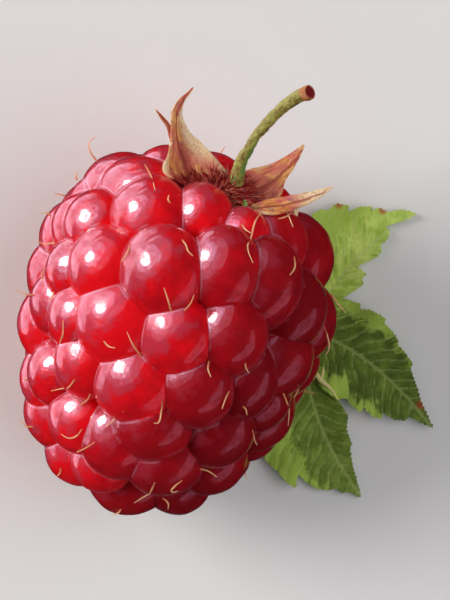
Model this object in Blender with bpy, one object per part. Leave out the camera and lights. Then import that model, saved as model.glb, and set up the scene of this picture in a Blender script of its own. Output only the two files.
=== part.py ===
"""A ripe raspberry lying on its side, with its calyx, its stem and a small leaf tucked under it.

Metres, +Z up. The table is the plane Z = 0, and the origin is on it, under the middle of the whole object.
The photograph looks straight down, so its right is +X and its top is +Y. Places that were read from it
are pixels of its 450 x 600 frame, and at() turns them into metres at a height above the table.
"""

import math

import bmesh
import bpy
import numpy as np
from mathutils import Matrix, Vector
from mathutils.geometry import delaunay_2d_cdt, interpolate_bezier

MM = 0.001

# Scale: the berry is 22.5 mm across, and 313 pixels across in the photograph.
BERRY_WIDTH = 22.5 * MM
BERRY_WIDTH_PX = 313
PX = BERRY_WIDTH / BERRY_WIDTH_PX
EYE_HEIGHT = 300 * MM
BELLY_HEIGHT = 10.8 * MM
ORIGIN_PX = (231, 300)

# The berry's body, which the middles of its drupelets lie on. Its middle line runs from tip to crown.
TIP = (125, 478, 8.3 * MM)
MIDDLE = (168, 338, 9.9 * MM)
CROWN = (214, 197, 13.5 * MM)
BODY_RADIUS = 8.7 * MM
WIDEST_AT = 0.69
TIP_POWER = 2.25
CROWN_POWER = 2.2
BODY_STEPS = 60
BODY_SIDES = 90
# Drupelets point away from the nearest place on this inner part of the middle line.
INNER_PART = (0.25, 0.75)
CORE_STEPS = 12
CORE_SIDES = 16
CORE_PROUD = 0.3 * MM

# Drupelets that face the camera, as (x, y, width, height) in pixels, in rows from the crown to the tip.
SEEN_DRUPELETS = (
    ((163, 166, 58, 66), (222, 177, 46, 46), (116, 189, 64, 60), (135, 195, 72, 54), (101, 205, 42, 42)),
    ((65, 230, 54, 54), (82, 227, 44, 48), (99, 222, 48, 50), (149, 215, 56, 58), (202, 216, 50, 54)),
    ((241, 236, 44, 44), (275, 245, 52, 54), (303, 257, 54, 62), (60, 270, 54, 58), (79, 272, 44, 50)),
    ((105, 264, 52, 56), (164, 272, 60, 66), (221, 268, 54, 62), (266, 285, 54, 66), (291, 306, 52, 60)),
    ((304, 322, 50, 60), (52, 322, 54, 58), (80, 320, 48, 52), (118, 322, 60, 64), (178, 333, 54, 56)),
    ((228, 332, 52, 60), (277, 355, 58, 62), (292, 362, 46, 52), (49, 378, 44, 52), (62, 372, 46, 48)),
    ((86, 362, 48, 52), (136, 380, 60, 60), (199, 383, 58, 62), (243, 380, 48, 60), (55, 412, 52, 54)),
    ((82, 418, 50, 48), (118, 440, 50, 58), (155, 422, 56, 56), (218, 428, 54, 58), (262, 415, 48, 58)),
    ((264, 438, 44, 46), (78, 452, 52, 50), (163, 460, 58, 54), (211, 459, 52, 52)),
    ((127, 482, 56, 48), (178, 484, 56, 46)),
)
# Three drupelets under the berry, round its weight, that it rests on.
RESTING_DRUPELETS = ((132, 338, 64, 64), (186, 352, 64, 64), (180, 278, 72, 72))
# The rest fill the body one by one, each where the most room is left, and are then evened out. They are
# this wide at the tip and at the crown. Each drupelet is fuller than it looks, as its neighbours overlap it.
HIDDEN_WIDTHS = (41, 59)
# Under the gap between two sepals the photograph shows no fruit, so those near it stay this much smaller.
BARE_PLACE = (285, 192, 10.5 * MM)
BARE_REACH = 2.6 * MM
BARE_SHRINK = 0.4
LEAST_ROOM = 0.3
EVENING_ROUNDS = 12
FULLNESS = 1.22
# Every drupelet is spread this much wider, under its neighbours. Large ones are less deep for their width.
SPREAD = 1.0 * MM
MEAN_DEPTH = 2.45 * MM
EVENNESS = 0.4
DRUPELET_SIDES = 10
DRUPELET_RINGS = 6
UPRIGHT_SLANT = 0.3
TABLE_BLOCK = 100 * MM

# The calyx: a disc with five sepals.
CALYX_CENTRE = (227, 189, 14.0 * MM)
CALYX_RADIUS = 2.9 * MM
CALYX_THICKNESS = 0.9 * MM
CALYX_SIDES = 20
CALYX_ROOM = 3.0 * MM
BLADE = 0.6 * MM
GAP = 0.3 * MM
SEPAL_STEPS = 9
MITRE_LIMIT = 0.6

# Each sepal is a left edge, a rib and a right edge, from base to tip, as (x, y, height in millimetres).
SEPALS = {
    "needle": (
        ((192, 177, 13.2), (176, 154, 12.2), (168, 132, 11.8), (154, 110, 11.4)),
        ((200, 181, 12.8), (180, 152, 11.8), (171, 132, 11.6), (155, 110, 11.4)),
        ((207, 182, 12.4), (184, 150, 11.6), (174, 131, 11.6), (156, 110, 11.4)),
    ),
    "tall": (
        ((173, 180, 16.8), (167, 159, 16.4), (171, 121, 15.5), (191, 88, 14.9)),
        ((200, 190, 16.2), (183, 160, 14.8), (177, 117, 14.7), (192, 87, 14.9)),
        ((226, 183, 15.0), (214, 159, 14.5), (185, 123, 14.3), (193, 88, 14.9)),
    ),
    "upper": (
        ((236, 174, 12.0), (262, 167, 11.8), (285, 156, 11.6), (304, 144, 11.2)),
        ((243, 187, 13.0), (268, 177, 12.4), (287, 163, 12.0), (305, 145, 11.2)),
        ((248, 200, 14.4), (276, 192, 13.8), (291, 172, 12.4), (305, 147, 11.2)),
    ),
    "front": (
        ((243, 199, 15.2), (272, 198, 15.4), (302, 192, 15.4), (333, 187, 15.2)),
        ((244, 205, 16.0), (272, 205, 16.4), (303, 198, 16.2), (333, 188, 15.2)),
        ((248, 211, 16.8), (275, 213, 17.2), (308, 203, 16.6), (332, 190, 15.2)),
    ),
    "small": (
        ((252, 196, 13.5), (272, 200, 13.8), (289, 207, 14.2), (296, 225, 14.0)),
        ((251, 202, 14.1), (269, 207, 14.5), (284, 213, 14.8), (295, 227, 14.0)),
        ((248, 208, 14.7), (265, 213, 15.2), (280, 218, 15.2), (292, 227, 14.0)),
    ),
}

# The stem's middle line as (x, y, height in millimetres), and its radius in pixels at each of those places.
STEM_LINE = ((236, 181, 15.0), (245, 153, 16.0), (268, 122, 16.5), (311, 91, 16.8))
STEM_RADII_PX = (6.4, 5.2, 5.4, 7.2)
STEM_STEPS = 14
STEM_SIDES = 10

# The leaf: three leaflets on one stalk. Each is its rib, as three control points, its height in millimetres
# and its outline, which runs from the base by the left edge to the tip, and back by the right edge.
LEAFLETS = {
    "upper": (
        ((322, 306), (352, 248), (415, 214)),
        0.42,
        (
            ((318, 304), (298, 288), (290, 262), (296, 240), (305, 226), (313, 214), (322, 209), (326, 212)),
            ((337, 204), (349, 206), (348, 213), (360, 207), (372, 207), (370, 212), (380, 208), (388, 213)),
            ((403, 210), (417, 214), (403, 221), (385, 226), (390, 232), (387, 239), (379, 246), (382, 250)),
            ((376, 257), (362, 264), (356, 267), (367, 275), (362, 277), (363, 285), (355, 290), (343, 298)),
            ((330, 306),),
        ),
    ),
    "middle": (
        ((310, 330), (375, 352), (432, 427)),
        0.62,
        (
            ((308, 322), (318, 306), (330, 300), (346, 299), (361, 305), (359, 309), (372, 311), (386, 319)),
            ((383, 322), (392, 331), (399, 342), (396, 343), (406, 354), (413, 364), (410, 367), (413, 377)),
            ((417, 388), (421, 402), (433, 428), (419, 421), (408, 416), (406, 420), (394, 419), (382, 411)),
            ((382, 418), (373, 416), (363, 406), (361, 412), (351, 404), (346, 397), (338, 400), (322, 388)),
            ((310, 366), (306, 342)),
        ),
    ),
    "lower": (
        ((306, 362), (312, 430), (361, 495)),
        0.34,
        (
            ((314, 366), (330, 388), (342, 406), (348, 417), (346, 430), (351, 442), (350, 452), (353, 467)),
            ((361, 497), (349, 492), (341, 492), (335, 487), (330, 490), (316, 488), (307, 482), (298, 473)),
            ((295, 488), (285, 480), (277, 470), (268, 462), (261, 450), (257, 436), (259, 412), (270, 388)),
            ((288, 370), (300, 362)),
        ),
    ),
}
RIB_STEPS = 9
RIB_SAMPLES = 40
OUTLINE_MERGE_PX = 0.01
LEAF_DISH = 0.55 * MM
LEAF_DISH_WIDTH = 45 * PX
LEAF_DISH_POWER = 1.5
LEAF_WAVE = 0.22 * MM
LEAF_WAVE_LENGTH = 42 * PX
LEAF_STALK = ((268, 262), (276, 312), (304, 344))
LEAF_STALK_HEIGHT = 0.75 * MM
LEAF_STALK_RADIUS = 0.42 * MM
LEAF_STALK_STEPS = 8
LEAF_STALK_SIDES = 8
JOINT_RADIUS = 0.36 * MM
JOINT_ALONG_RIB = 0.15

# Each node's colour, its roughness, and the angle in degrees below which its faces are shaded smooth.
FINISHES = {
    "berry": ((0.55, 0.008, 0.016), 0.28, 50),
    "calyx": ((0.50, 0.22, 0.08), 0.75, 40),
    "stem": ((0.30, 0.27, 0.06), 0.70, 60),
    "leaf": ((0.12, 0.26, 0.03), 0.60, 40),
}


def clear_scene():
    for thing in list(bpy.data.objects):
        bpy.data.objects.remove(thing, do_unlink=True)


def at(x, y, height):
    """The point at this height that the photograph shows at this pixel."""
    reach = PX * (EYE_HEIGHT - height) / (EYE_HEIGHT - BELLY_HEIGHT)
    return Vector(((x - ORIGIN_PX[0]) * reach, (ORIGIN_PX[1] - y) * reach, height))


def in_mm(place):
    """A place of pixels and millimetres as a point."""
    return at(place[0], place[1], place[2] * MM)


def curve_point(points, t):
    """A point of the quadratic curve with these three control points, and its direction there."""
    a, b, c = (Vector(p) for p in points)
    place = a * (1 - t) ** 2 + b * (2 * t * (1 - t)) + c * t**2
    heading = ((b - a) * (1 - t) + (c - b) * t).normalized()
    return place, heading


def through(points, steps):
    """steps + 1 points on a smooth curve through these four."""
    a, b, c, d = (Vector(p) for p in points)
    along_b = (c - a) / 6
    along_c = (d - b) / 6
    found = []
    for start, after, before, end in (
        (a, a + (b - a) / 3, b - along_b, b),
        (b, b + along_b, c - along_c, c),
        (c, c + along_c, d - (d - c) / 3, d),
    ):
        found.extend(interpolate_bezier(start, after, before, end, steps + 1)[:-1])
    found.append(d)
    return [found[round(i * 3)] for i in range(steps + 1)]


def new_object(name, mesh):
    made = bpy.data.objects.new(name, mesh)
    bpy.context.scene.collection.objects.link(made)
    return made


def from_rows(name, rows, closed_rows):
    """A mesh with faces between each row of points and the next. A row of one point closes an end."""
    work = bmesh.new()
    made = [[work.verts.new(p) for p in row] for row in rows]
    for low, high in zip(made, made[1:]):
        count = max(len(low), len(high))
        for i in range(count if closed_rows else count - 1):
            j = (i + 1) % count
            corners = [low[i % len(low)], low[j % len(low)], high[j % len(high)], high[i % len(high)]]
            work.faces.new(list(dict.fromkeys(corners)))
    bmesh.ops.recalc_face_normals(work, faces=work.faces)
    mesh = bpy.data.meshes.new(name)
    work.to_mesh(mesh)
    work.free()
    return mesh


def freeze(thing):
    """Turns the object's modifiers into its mesh."""
    graph = bpy.context.evaluated_depsgraph_get()
    mesh = bpy.data.meshes.new_from_object(thing.evaluated_get(graph))
    thing.modifiers.clear()
    thing.data = mesh


def fuse(name, first, others):
    """One closed solid of the first object and all the others that it overlaps."""
    group = bpy.data.collections.new(name + "_pieces")
    bpy.context.scene.collection.children.link(group)
    for other in others:
        group.objects.link(other)
    join = first.modifiers.new("join", "BOOLEAN")
    join.operation = "UNION"
    join.solver = "EXACT"
    join.operand_type = "COLLECTION"
    join.collection = group
    freeze(first)
    for other in others:
        bpy.data.objects.remove(other, do_unlink=True)
    bpy.data.collections.remove(group)
    first.name = name
    return first


def finish(thing):
    """Gives the object its material, and smooth shading where its faces meet gently."""
    colour, roughness, smooth_below = FINISHES[thing.name]
    material = bpy.data.materials.new(thing.name)
    material.use_nodes = True
    shader = material.node_tree.nodes["Principled BSDF"]
    shader.inputs["Base Color"].default_value = (*colour, 1)
    shader.inputs["Roughness"].default_value = roughness
    shader.inputs["Metallic"].default_value = 0
    thing.data.materials.clear()
    thing.data.materials.append(material)
    thing.data.shade_smooth()
    thing.data.set_sharp_from_angle(angle=math.radians(smooth_below))


def body_girth(t):
    """The body's radius at this share of the way from tip to crown."""
    if t < WIDEST_AT:
        share = (WIDEST_AT - t) / WIDEST_AT
        return BODY_RADIUS * (1 - share**TIP_POWER) ** (1 / TIP_POWER)
    share = (t - WIDEST_AT) / (1 - WIDEST_AT)
    return BODY_RADIUS * (1 - share**CROWN_POWER) ** (1 / CROWN_POWER)


def ring_at(i, steps):
    """How far along the body its ring number i is. Rings stand closer at the ends, where it curves most."""
    return (1 - math.cos(math.pi * i / steps)) / 2


def body_rows(steps, sides, proud):
    """Rings of points round the body, from tip to crown, standing proud of it by this much."""
    line = [at(*place) for place in (TIP, MIDDLE, CROWN)]
    rows = []
    for i in range(steps + 1):
        t = ring_at(i, steps)
        middle, heading = curve_point(line, t)
        across = heading.cross(Vector((0, 0, 1))).normalized()
        upward = across.cross(heading)
        if i in (0, steps):
            rows.append([middle + heading * (proud if i else -proud)])
            continue
        girth = body_girth(t) + proud
        turns = (2 * math.pi * (j + 0.5 * (i % 2)) / sides for j in range(sides))
        rows.append([middle + girth * (across * math.cos(a) + upward * math.sin(a)) for a in turns])
    return rows


def body_places():
    """Places on the body for drupelets: their points, outward directions, shares of the skin and widths."""
    line = [at(*place) for place in (TIP, MIDDLE, CROWN)]
    first, last = INNER_PART
    at_tip, at_crown = HIDDEN_WIDTHS
    points, outward, shares, widths = [], [], [], []
    for i, row in enumerate(body_rows(BODY_STEPS, BODY_SIDES, 0)):
        t = ring_at(i, BODY_STEPS)
        middle = curve_point(line, min(max(i / BODY_STEPS, first), last))[0]
        for point in row:
            points.append(point)
            outward.append((point - middle).normalized())
            shares.append(max(body_girth(t), MM) * math.sin(math.pi * (i + 0.5) / BODY_STEPS))
            near = math.exp(-(((point - at(*BARE_PLACE)).length / BARE_REACH) ** 2))
            widths.append((at_tip + (at_crown - at_tip) * t) * (1 - BARE_SHRINK * near))
    return np.array(points), np.array(outward), np.array(shares), np.array(widths)


def seen_place(points, outward, x, y, from_above):
    """The place on the upper or the lower side of the body that is nearest the sight line of this pixel."""
    reach = PX * (EYE_HEIGHT - points[:, 2]) / (EYE_HEIGHT - BELLY_HEIGHT)
    miss = np.hypot((x - ORIGIN_PX[0]) * reach - points[:, 0], (ORIGIN_PX[1] - y) * reach - points[:, 1])
    miss[(outward[:, 2] > 0) != from_above] = 1
    return int(np.argmin(miss))


def drupelet_places():
    """Where each drupelet sits, as (point, outward direction, width, height): the seen ones come first."""
    points, outward, shares, widths = body_places()
    size = PX * FULLNESS
    spots = []
    for row in SEEN_DRUPELETS:
        for x, y, width, height in row:
            spots.append((seen_place(points, outward, x, y, True), width * size, height * size))
    for x, y, width, height in RESTING_DRUPELETS:
        spots.append((seen_place(points, outward, x, y, False), width * size, height * size))
    given = len(spots)
    calyx_room = np.linalg.norm(points - at(*CALYX_CENTRE), axis=1) - CALYX_ROOM

    def rooms():
        """The room from each place to each drupelet, less that drupelet's own radius."""
        gaps = [np.linalg.norm(points - points[i], axis=1) - (w + h) / 4 for i, w, h in spots]
        return np.array(gaps)

    while True:
        room = np.minimum(rooms().min(axis=0), calyx_room) - LEAST_ROOM * widths * size / 2
        roomiest = int(np.argmax(room))
        if room[roomiest] < 0:
            break
        spots.append((roomiest, widths[roomiest] * size, widths[roomiest] * size))
    for _ in range(EVENING_ROUNDS):
        owner = np.argmin(np.vstack((rooms(), calyx_room)), axis=0)
        for k in range(given, len(spots)):
            own = owner == k
            middle = np.average(points[own], axis=0, weights=shares[own])
            spots[k] = (int(np.argmin(np.linalg.norm(points - middle, axis=1))), *spots[k][1:])
    return [(Vector(points[i]), Vector(outward[i]), w, h) for i, w, h in spots]


def drupelet_radii(point, width, height):
    """The drupelet's half width, half height and depth. It isn't spread where it would go under the calyx."""
    room = (point - at(*CALYX_CENTRE)).length - CALYX_ROOM
    spread = SPREAD * min(max(room / CALYX_ROOM, 0), 1)
    deep = (1 - EVENNESS) * (width + height) / 4 + EVENNESS * MEAN_DEPTH
    return (width + spread) / 2, (height + spread) / 2, deep


def make_drupelet(number, point, outward, width, height):
    """One plump drupelet with its pole pointing out."""
    work = bmesh.new()
    bmesh.ops.create_uvsphere(work, u_segments=DRUPELET_SIDES, v_segments=DRUPELET_RINGS, radius=1)
    across = Vector((0, 1, 0)).cross(outward)
    if across.length < UPRIGHT_SLANT:
        across = Vector((1, 0, 0))
    across = (across - outward * across.dot(outward)).normalized()
    along = outward.cross(across)
    wide, high, deep = drupelet_radii(point, width, height)
    sides = (across * wide, along * high, outward * deep, point)
    bmesh.ops.transform(work, matrix=Matrix([side.to_4d() for side in sides]).transposed(), verts=work.verts)
    mesh = bpy.data.meshes.new(f"drupelet_{number}")
    work.to_mesh(mesh)
    work.free()
    return new_object(f"drupelet_{number}", mesh)


def make_berry():
    """Drupelets fused over the body, with the lowest of them pressed flat on the table."""
    core = new_object("core", from_rows("core", body_rows(CORE_STEPS, CORE_SIDES, CORE_PROUD), True))
    drupelets = [make_drupelet(i, *place) for i, place in enumerate(drupelet_places())]
    berry = fuse("berry", core, drupelets)
    bpy.ops.mesh.primitive_cube_add(size=TABLE_BLOCK, location=(0, 0, -TABLE_BLOCK / 2))
    press_into(berry, bpy.context.object)
    press_into(berry, calyx_solid(GAP))
    drop_scraps(berry)
    finish(berry)
    return berry


def drop_scraps(thing):
    """Keeps the largest of the bodies that a cut has left."""
    work = bmesh.new()
    work.from_mesh(thing.data)
    left = set(work.verts)
    largest = set()
    while left:
        body, edge_of_body = set(), {left.pop()}
        while edge_of_body:
            body |= edge_of_body
            edge_of_body = {e.other_vert(v) for v in edge_of_body for e in v.link_edges} - body
        left -= body
        largest = max(largest, body, key=len)
    bmesh.ops.delete(work, geom=[v for v in work.verts if v not in largest], context="VERTS")
    work.to_mesh(thing.data)
    work.free()


def press_into(thing, other):
    """Cuts the other object's shape out of the thing, and removes that object.

    MANIFOLD is the solver that keeps the berry whole in these cuts. EXACT loses most of it.
    """
    cut = thing.modifiers.new("press", "BOOLEAN")
    cut.operation = "DIFFERENCE"
    cut.solver = "MANIFOLD"
    cut.object = other
    freeze(thing)
    bpy.data.objects.remove(other, do_unlink=True)


def calyx_axis():
    """The direction that the crown faces."""
    line = [at(*place) for place in (TIP, MIDDLE, CROWN)]
    return curve_point(line, 1.0)[1]


def thicken(blade):
    """Gives a thin sheet its thickness, half to each side."""
    skin = blade.modifiers.new("thickness", "SOLIDIFY")
    skin.thickness = BLADE
    skin.offset = 0
    skin.use_even_offset = False
    freeze(blade)
    return blade


def sepal_ring(left, rib, right, ahead, room):
    """A section of a sepal: a bent strip of even thickness, this much larger all round than it is."""
    on_left = (rib - left).cross(ahead).normalized()
    on_right = (right - rib).cross(ahead).normalized()
    on_rib = (on_left + on_right).normalized()
    on_rib = on_rib / max(on_rib.dot(on_left), MITRE_LIMIT)
    half = BLADE / 2 + room
    spread = (right - left).normalized() * room
    corners = ((left - spread, on_left), (rib, on_rib), (right + spread, on_right))
    return [p + n * half for p, n in corners] + [p - n * half for p, n in reversed(corners)]


def make_sepal(name, room):
    edges = [through([in_mm(place) for place in edge], SEPAL_STEPS) for edge in SEPALS[name]]
    rib = edges[1]
    rows = []
    for i, (left, middle, right) in enumerate(zip(*edges)):
        ahead = rib[min(i + 1, SEPAL_STEPS)] - rib[max(i - 1, 0)]
        beyond = ahead.normalized() * room * ((i == SEPAL_STEPS) - (i == 0))
        rows.append([p + beyond for p in sepal_ring(left, middle, right, ahead, room)])
    base = rib[0] - (rib[1] - rib[0]).normalized() * room
    point = rib[-1] + (rib[-1] - rib[-2]).normalized() * (BLADE / 2 + 2 * room)
    rows = [[base], *rows, [point]]
    return new_object("sepal_" + name, from_rows(name, rows, True))


def calyx_solid(room):
    """The disc and its sepals as one solid, this much thicker all round than they are."""
    bpy.ops.mesh.primitive_cylinder_add(
        vertices=CALYX_SIDES,
        radius=CALYX_RADIUS + room,
        depth=CALYX_THICKNESS + 2 * room,
        location=at(*CALYX_CENTRE),
        rotation=calyx_axis().to_track_quat("Z", "Y").to_euler(),
    )
    disc = bpy.context.object
    return fuse("calyx", disc, [make_sepal(name, room) for name in SEPALS])


def make_calyx():
    calyx = calyx_solid(0)
    finish(calyx)
    return calyx


def tube(name, line, radii, sides):
    """A closed tube along these points, with a flat end at each."""
    rows = [[line[0]]]
    for i, (point, radius) in enumerate(zip(line, radii)):
        heading = (line[min(i + 1, len(line) - 1)] - line[max(i - 1, 0)]).normalized()
        across = heading.cross(Vector((0, 0, 1))).normalized()
        upward = across.cross(heading)
        turns = (2 * math.pi * j / sides for j in range(sides))
        rows.append([point + radius * (across * math.cos(a) + upward * math.sin(a)) for a in turns])
    rows.append([line[-1]])
    return new_object(name, from_rows(name, rows, True))


def make_stem():
    line = through([in_mm(place) for place in STEM_LINE], STEM_STEPS)
    spread = through([Vector((r, 0, 0)) for r in STEM_RADII_PX], STEM_STEPS)
    stem = tube("stem", line, [r.x * PX for r in spread], STEM_SIDES)
    finish(stem)
    return stem


def blade_height(name, spot, rib):
    """How high a leaflet's middle sheet lies at this pixel: it is dished towards its rib, and waved."""
    base = LEAFLETS[name][1] * MM
    t, away = min(((i, (spot - p).length) for i, p in enumerate(rib)), key=lambda pair: pair[1])
    outer = min(1, away * PX / LEAF_DISH_WIDTH)
    along = t / (len(rib) - 1) * (rib[0] - rib[-1]).length * PX
    wave = LEAF_WAVE * outer * math.sin(2 * math.pi * along / LEAF_WAVE_LENGTH)
    return base + LEAF_DISH * outer**LEAF_DISH_POWER + wave


def make_leaflet(name):
    """A blade cut along its outline, with its rib's points inside it."""
    line = [Vector(p) for p in LEAFLETS[name][0]]
    rib = [curve_point(line, i / RIB_SAMPLES)[0] for i in range(RIB_SAMPLES + 1)]
    outline = [Vector(p) for row in LEAFLETS[name][2] for p in row]
    inner = [curve_point(line, (i + 0.5) / RIB_STEPS)[0] for i in range(RIB_STEPS)]
    border = [(i, (i + 1) % len(outline)) for i in range(len(outline))]
    spine = [(len(outline) + i, len(outline) + i + 1) for i in range(RIB_STEPS - 1)]
    flat, _edges, faces = delaunay_2d_cdt(outline + inner, border + spine, [], 1, OUTLINE_MERGE_PX)[:3]
    mesh = bpy.data.meshes.new(name)
    spots = [at(p.x, p.y, blade_height(name, p, rib)) for p in flat]
    mesh.from_pydata(spots, [], faces)
    return thicken(new_object("leaflet_" + name, mesh))


def make_leaf():
    """Three leaflets joined to one stalk, which runs on under the berry."""
    route = [Vector(p) for p in LEAF_STALK]
    places = [curve_point(route, i / LEAF_STALK_STEPS)[0] for i in range(LEAF_STALK_STEPS + 1)]
    line = [at(place.x, place.y, LEAF_STALK_HEIGHT) for place in places]
    stalk = tube("stalk", line, [LEAF_STALK_RADIUS] * len(line), LEAF_STALK_SIDES)
    others = []
    for name, (rib, _height, _outline) in LEAFLETS.items():
        others.append(make_leaflet(name))
        inner = curve_point([Vector(p) for p in rib], JOINT_ALONG_RIB)[0]
        joint = [line[-1], at(inner.x, inner.y, LEAF_STALK_HEIGHT)]
        others.append(tube("joint_" + name, joint, [JOINT_RADIUS] * len(joint), LEAF_STALK_SIDES))
    leaf = fuse("leaf", stalk, others)
    finish(leaf)
    return leaf


def main():
    clear_scene()
    make_berry()
    make_calyx()
    make_stem()
    make_leaf()


main()
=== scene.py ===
# %% [markdown]
# # A ripe raspberry with its calyx, stem and a small leaf
# The fruit lies on its side on a pale table and is seen from straight above. Its solids were built first, at
# their real size, and they are loaded here as a fixed frame. This lesson makes a fine piece for each of them:
# the juicy fruit, its dry pale styles, the downy calyx, the stem and the toothed leaf.
#
# The solids stay the measure of everything.

import math
import random

import bpy
import numpy as np
from mathutils import Matrix, Vector, noise
from mathutils.bvhtree import BVHTree


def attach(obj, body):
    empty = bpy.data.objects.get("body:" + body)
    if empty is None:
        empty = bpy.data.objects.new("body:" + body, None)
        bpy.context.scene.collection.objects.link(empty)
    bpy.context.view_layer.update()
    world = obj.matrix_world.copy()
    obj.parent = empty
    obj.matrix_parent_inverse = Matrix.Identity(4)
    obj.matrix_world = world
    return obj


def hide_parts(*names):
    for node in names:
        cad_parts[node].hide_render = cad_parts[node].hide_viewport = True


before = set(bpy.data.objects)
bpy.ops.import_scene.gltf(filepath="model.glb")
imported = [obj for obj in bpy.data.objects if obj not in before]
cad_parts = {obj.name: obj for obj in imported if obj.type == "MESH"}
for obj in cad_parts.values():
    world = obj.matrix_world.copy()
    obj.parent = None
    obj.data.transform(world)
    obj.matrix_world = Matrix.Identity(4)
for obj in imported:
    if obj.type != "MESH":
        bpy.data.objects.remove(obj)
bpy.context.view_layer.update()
print("solids:", sorted(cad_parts))

# %% [markdown]
# ## Scale and view
# A broad garden raspberry is about 22.5 mm across, and this one covers 313 pixels of the photograph, which is
# 450 pixels wide and 600 high. Places read from the photograph are therefore pixels, with a height above the
# table. The function `at` follows the sight line of a pixel down to that height.
#
# The camera hangs 300 mm above the table. Its lens fits 600 pixels of that scale in the height of the frame,
# at the level of the fruit's belly. Such a long lens keeps the outline almost free of perspective.

# %% The camera and the scale
MM = 0.001
PX = 22.5 * MM / 313
EYE_HEIGHT = 300 * MM
BELLY_HEIGHT = 10.8 * MM
ORIGIN_PX = (231, 300)
FRAME_PX = (450, 600)
SENSOR = 36


def at(x, y, height):
    """The point at this height that the photograph shows at this pixel."""
    reach = PX * (EYE_HEIGHT - height) / (EYE_HEIGHT - BELLY_HEIGHT)
    return Vector(((x - ORIGIN_PX[0]) * reach, (ORIGIN_PX[1] - y) * reach, height))


def in_mm(place):
    """A place of pixels and millimetres as a point."""
    return at(place[0], place[1], place[2] * MM)


middle = at(FRAME_PX[0] / 2, FRAME_PX[1] / 2, BELLY_HEIGHT)
bpy.ops.object.camera_add(location=(middle.x, middle.y, EYE_HEIGHT), rotation=(0, 0, 0))
camera = bpy.context.object
camera.data.sensor_width = SENSOR
camera.data.lens = SENSOR * (EYE_HEIGHT - BELLY_HEIGHT) / (FRAME_PX[1] * PX)
camera.data.clip_start = 10 * MM
bpy.context.scene.camera = camera
print(f"lens {camera.data.lens:.0f} mm")

# %% [markdown]
# ## Light
# Glossy fruit is shown by what it mirrors. In the photograph each drupelet mirrors a bright window low at the
# upper left, which makes the white spot; the wide sky and haze round it, which make its upper left half pink;
# strips at and below the table's edge, which draw its thin pale rim and the light left flanks; and a
# faint glow from the lower right, which makes the dusty crescent on its shaded side. So the gloss has panels
# of its own, which light nothing else, and the colours are lit by two large soft ones that no gloss mirrors.
# All are hidden from the camera. Each panel is given by its radiance, so that its size can change without
# changing how bright its mirror image is.

# %% Panels of light
def add_panel(name, azimuth, elevation, distance, size, radiance, colour, for_gloss):
    """An oval soft light that faces the fruit from this azimuth (0 is right, 90 is up) and elevation."""
    round_, up = math.radians(azimuth), math.radians(elevation)
    toward = Vector((math.cos(round_) * math.cos(up), math.sin(round_) * math.cos(up), math.sin(up)))
    aim = Vector((0, 0, BELLY_HEIGHT))
    bpy.ops.object.light_add(type="AREA", location=aim + toward * distance)
    panel = bpy.context.object
    panel.name = name
    panel.rotation_euler = toward.to_track_quat("Z", "Y").to_euler()
    panel.data.shape = "ELLIPSE"
    panel.data.size, panel.data.size_y = size
    panel.data.energy = radiance * math.pi * math.pi / 4 * size[0] * size[1]
    panel.data.color = colour
    panel.visible_camera = False
    panel.visible_glossy = for_gloss
    panel.visible_diffuse = not for_gloss
    return panel


add_panel("window", 146, 32, 0.40, (0.19, 0.22), 30.0, (1.0, 0.98, 0.96), True)
add_panel("sky", 140, 34, 0.36, (0.46, 0.34), 3.6, (0.86, 0.66, 1.0), True)
add_panel("haze", 135, 40, 0.38, (0.95, 0.62), 1.3, (1.0, 0.60, 0.82), True)
add_panel("rim", 137, 6, 0.36, (0.60, 0.05), 3.6, (1.0, 0.70, 0.84), True)
add_panel("table", 150, -20, 0.36, (0.70, 0.32), 3.8, (1.0, 0.66, 0.84), True)
add_panel("glow", -40, 15, 0.36, (0.60, 0.20), 1.0, (1.0, 0.42, 0.62), True)
add_panel("key", 162, 36, 2.50, (1.50, 1.50), 8.6, (1.0, 0.98, 0.95), False)
add_panel("fill", 0, 50, 2.00, (2.40, 2.40), 1.5, (0.98, 0.97, 1.0), False)

ROOM_COLOUR = (0.93, 0.95, 1.0, 1)
ROOM_LIGHT = 0.22
world = bpy.data.worlds.new("room")
bpy.context.scene.world = world
world.use_nodes = True
world.node_tree.nodes["Background"].inputs["Color"].default_value = ROOM_COLOUR
world.node_tree.nodes["Background"].inputs["Strength"].default_value = ROOM_LIGHT
world.cycles_visibility.glossy = False
bpy.context.scene.view_settings.view_transform = "Standard"

# %% [markdown]
# ## The floor
# The floor isn't part of the object. It is a plain pale sheet, wide enough for every other view. The gloss
# doesn't mirror it, because its paleness would veil the deep reds.

# %% A pale floor
FLOOR_SIZE = 3.0
FLOOR_COLOUR = (0.76, 0.75, 0.74)


def plain_material(name, colour, roughness, **sockets):
    """A material with one shader and these sockets set, returned with that shader and the node tree."""
    material = bpy.data.materials.new(name)
    material.use_nodes = True
    shader = material.node_tree.nodes["Principled BSDF"]
    shader.inputs["Base Color"].default_value = (*colour, 1)
    shader.inputs["Roughness"].default_value = roughness
    for socket, value in sockets.items():
        shader.inputs[socket.replace("_", " ")].default_value = value
    return material, shader, material.node_tree


bpy.ops.mesh.primitive_plane_add(size=FLOOR_SIZE)
floor = bpy.context.object
floor.name = "floor"
floor.data.materials.append(plain_material("floor_paint", FLOOR_COLOUR, 0.8, Specular_IOR_Level=0)[0])
floor.visible_glossy = False
print("floor:", FLOOR_SIZE, "m wide")

# %% [markdown]
# ## Hand tools
# Most pieces below are made as by hand: a primitive or a drawn line is added, shaped in edit mode and given
# modifiers. Every operator acts on what is selected, so these helpers select with care. A finished piece has
# its place in its mesh and its object at the origin, like the solids it stands for.

# %% Helpers for modelling
def only(*things):
    """Selects these objects alone, and makes the first one active."""
    bpy.ops.object.select_all(action="DESELECT")
    for thing in things:
        thing.select_set(True)
    bpy.context.view_layer.objects.active = things[0]


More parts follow.
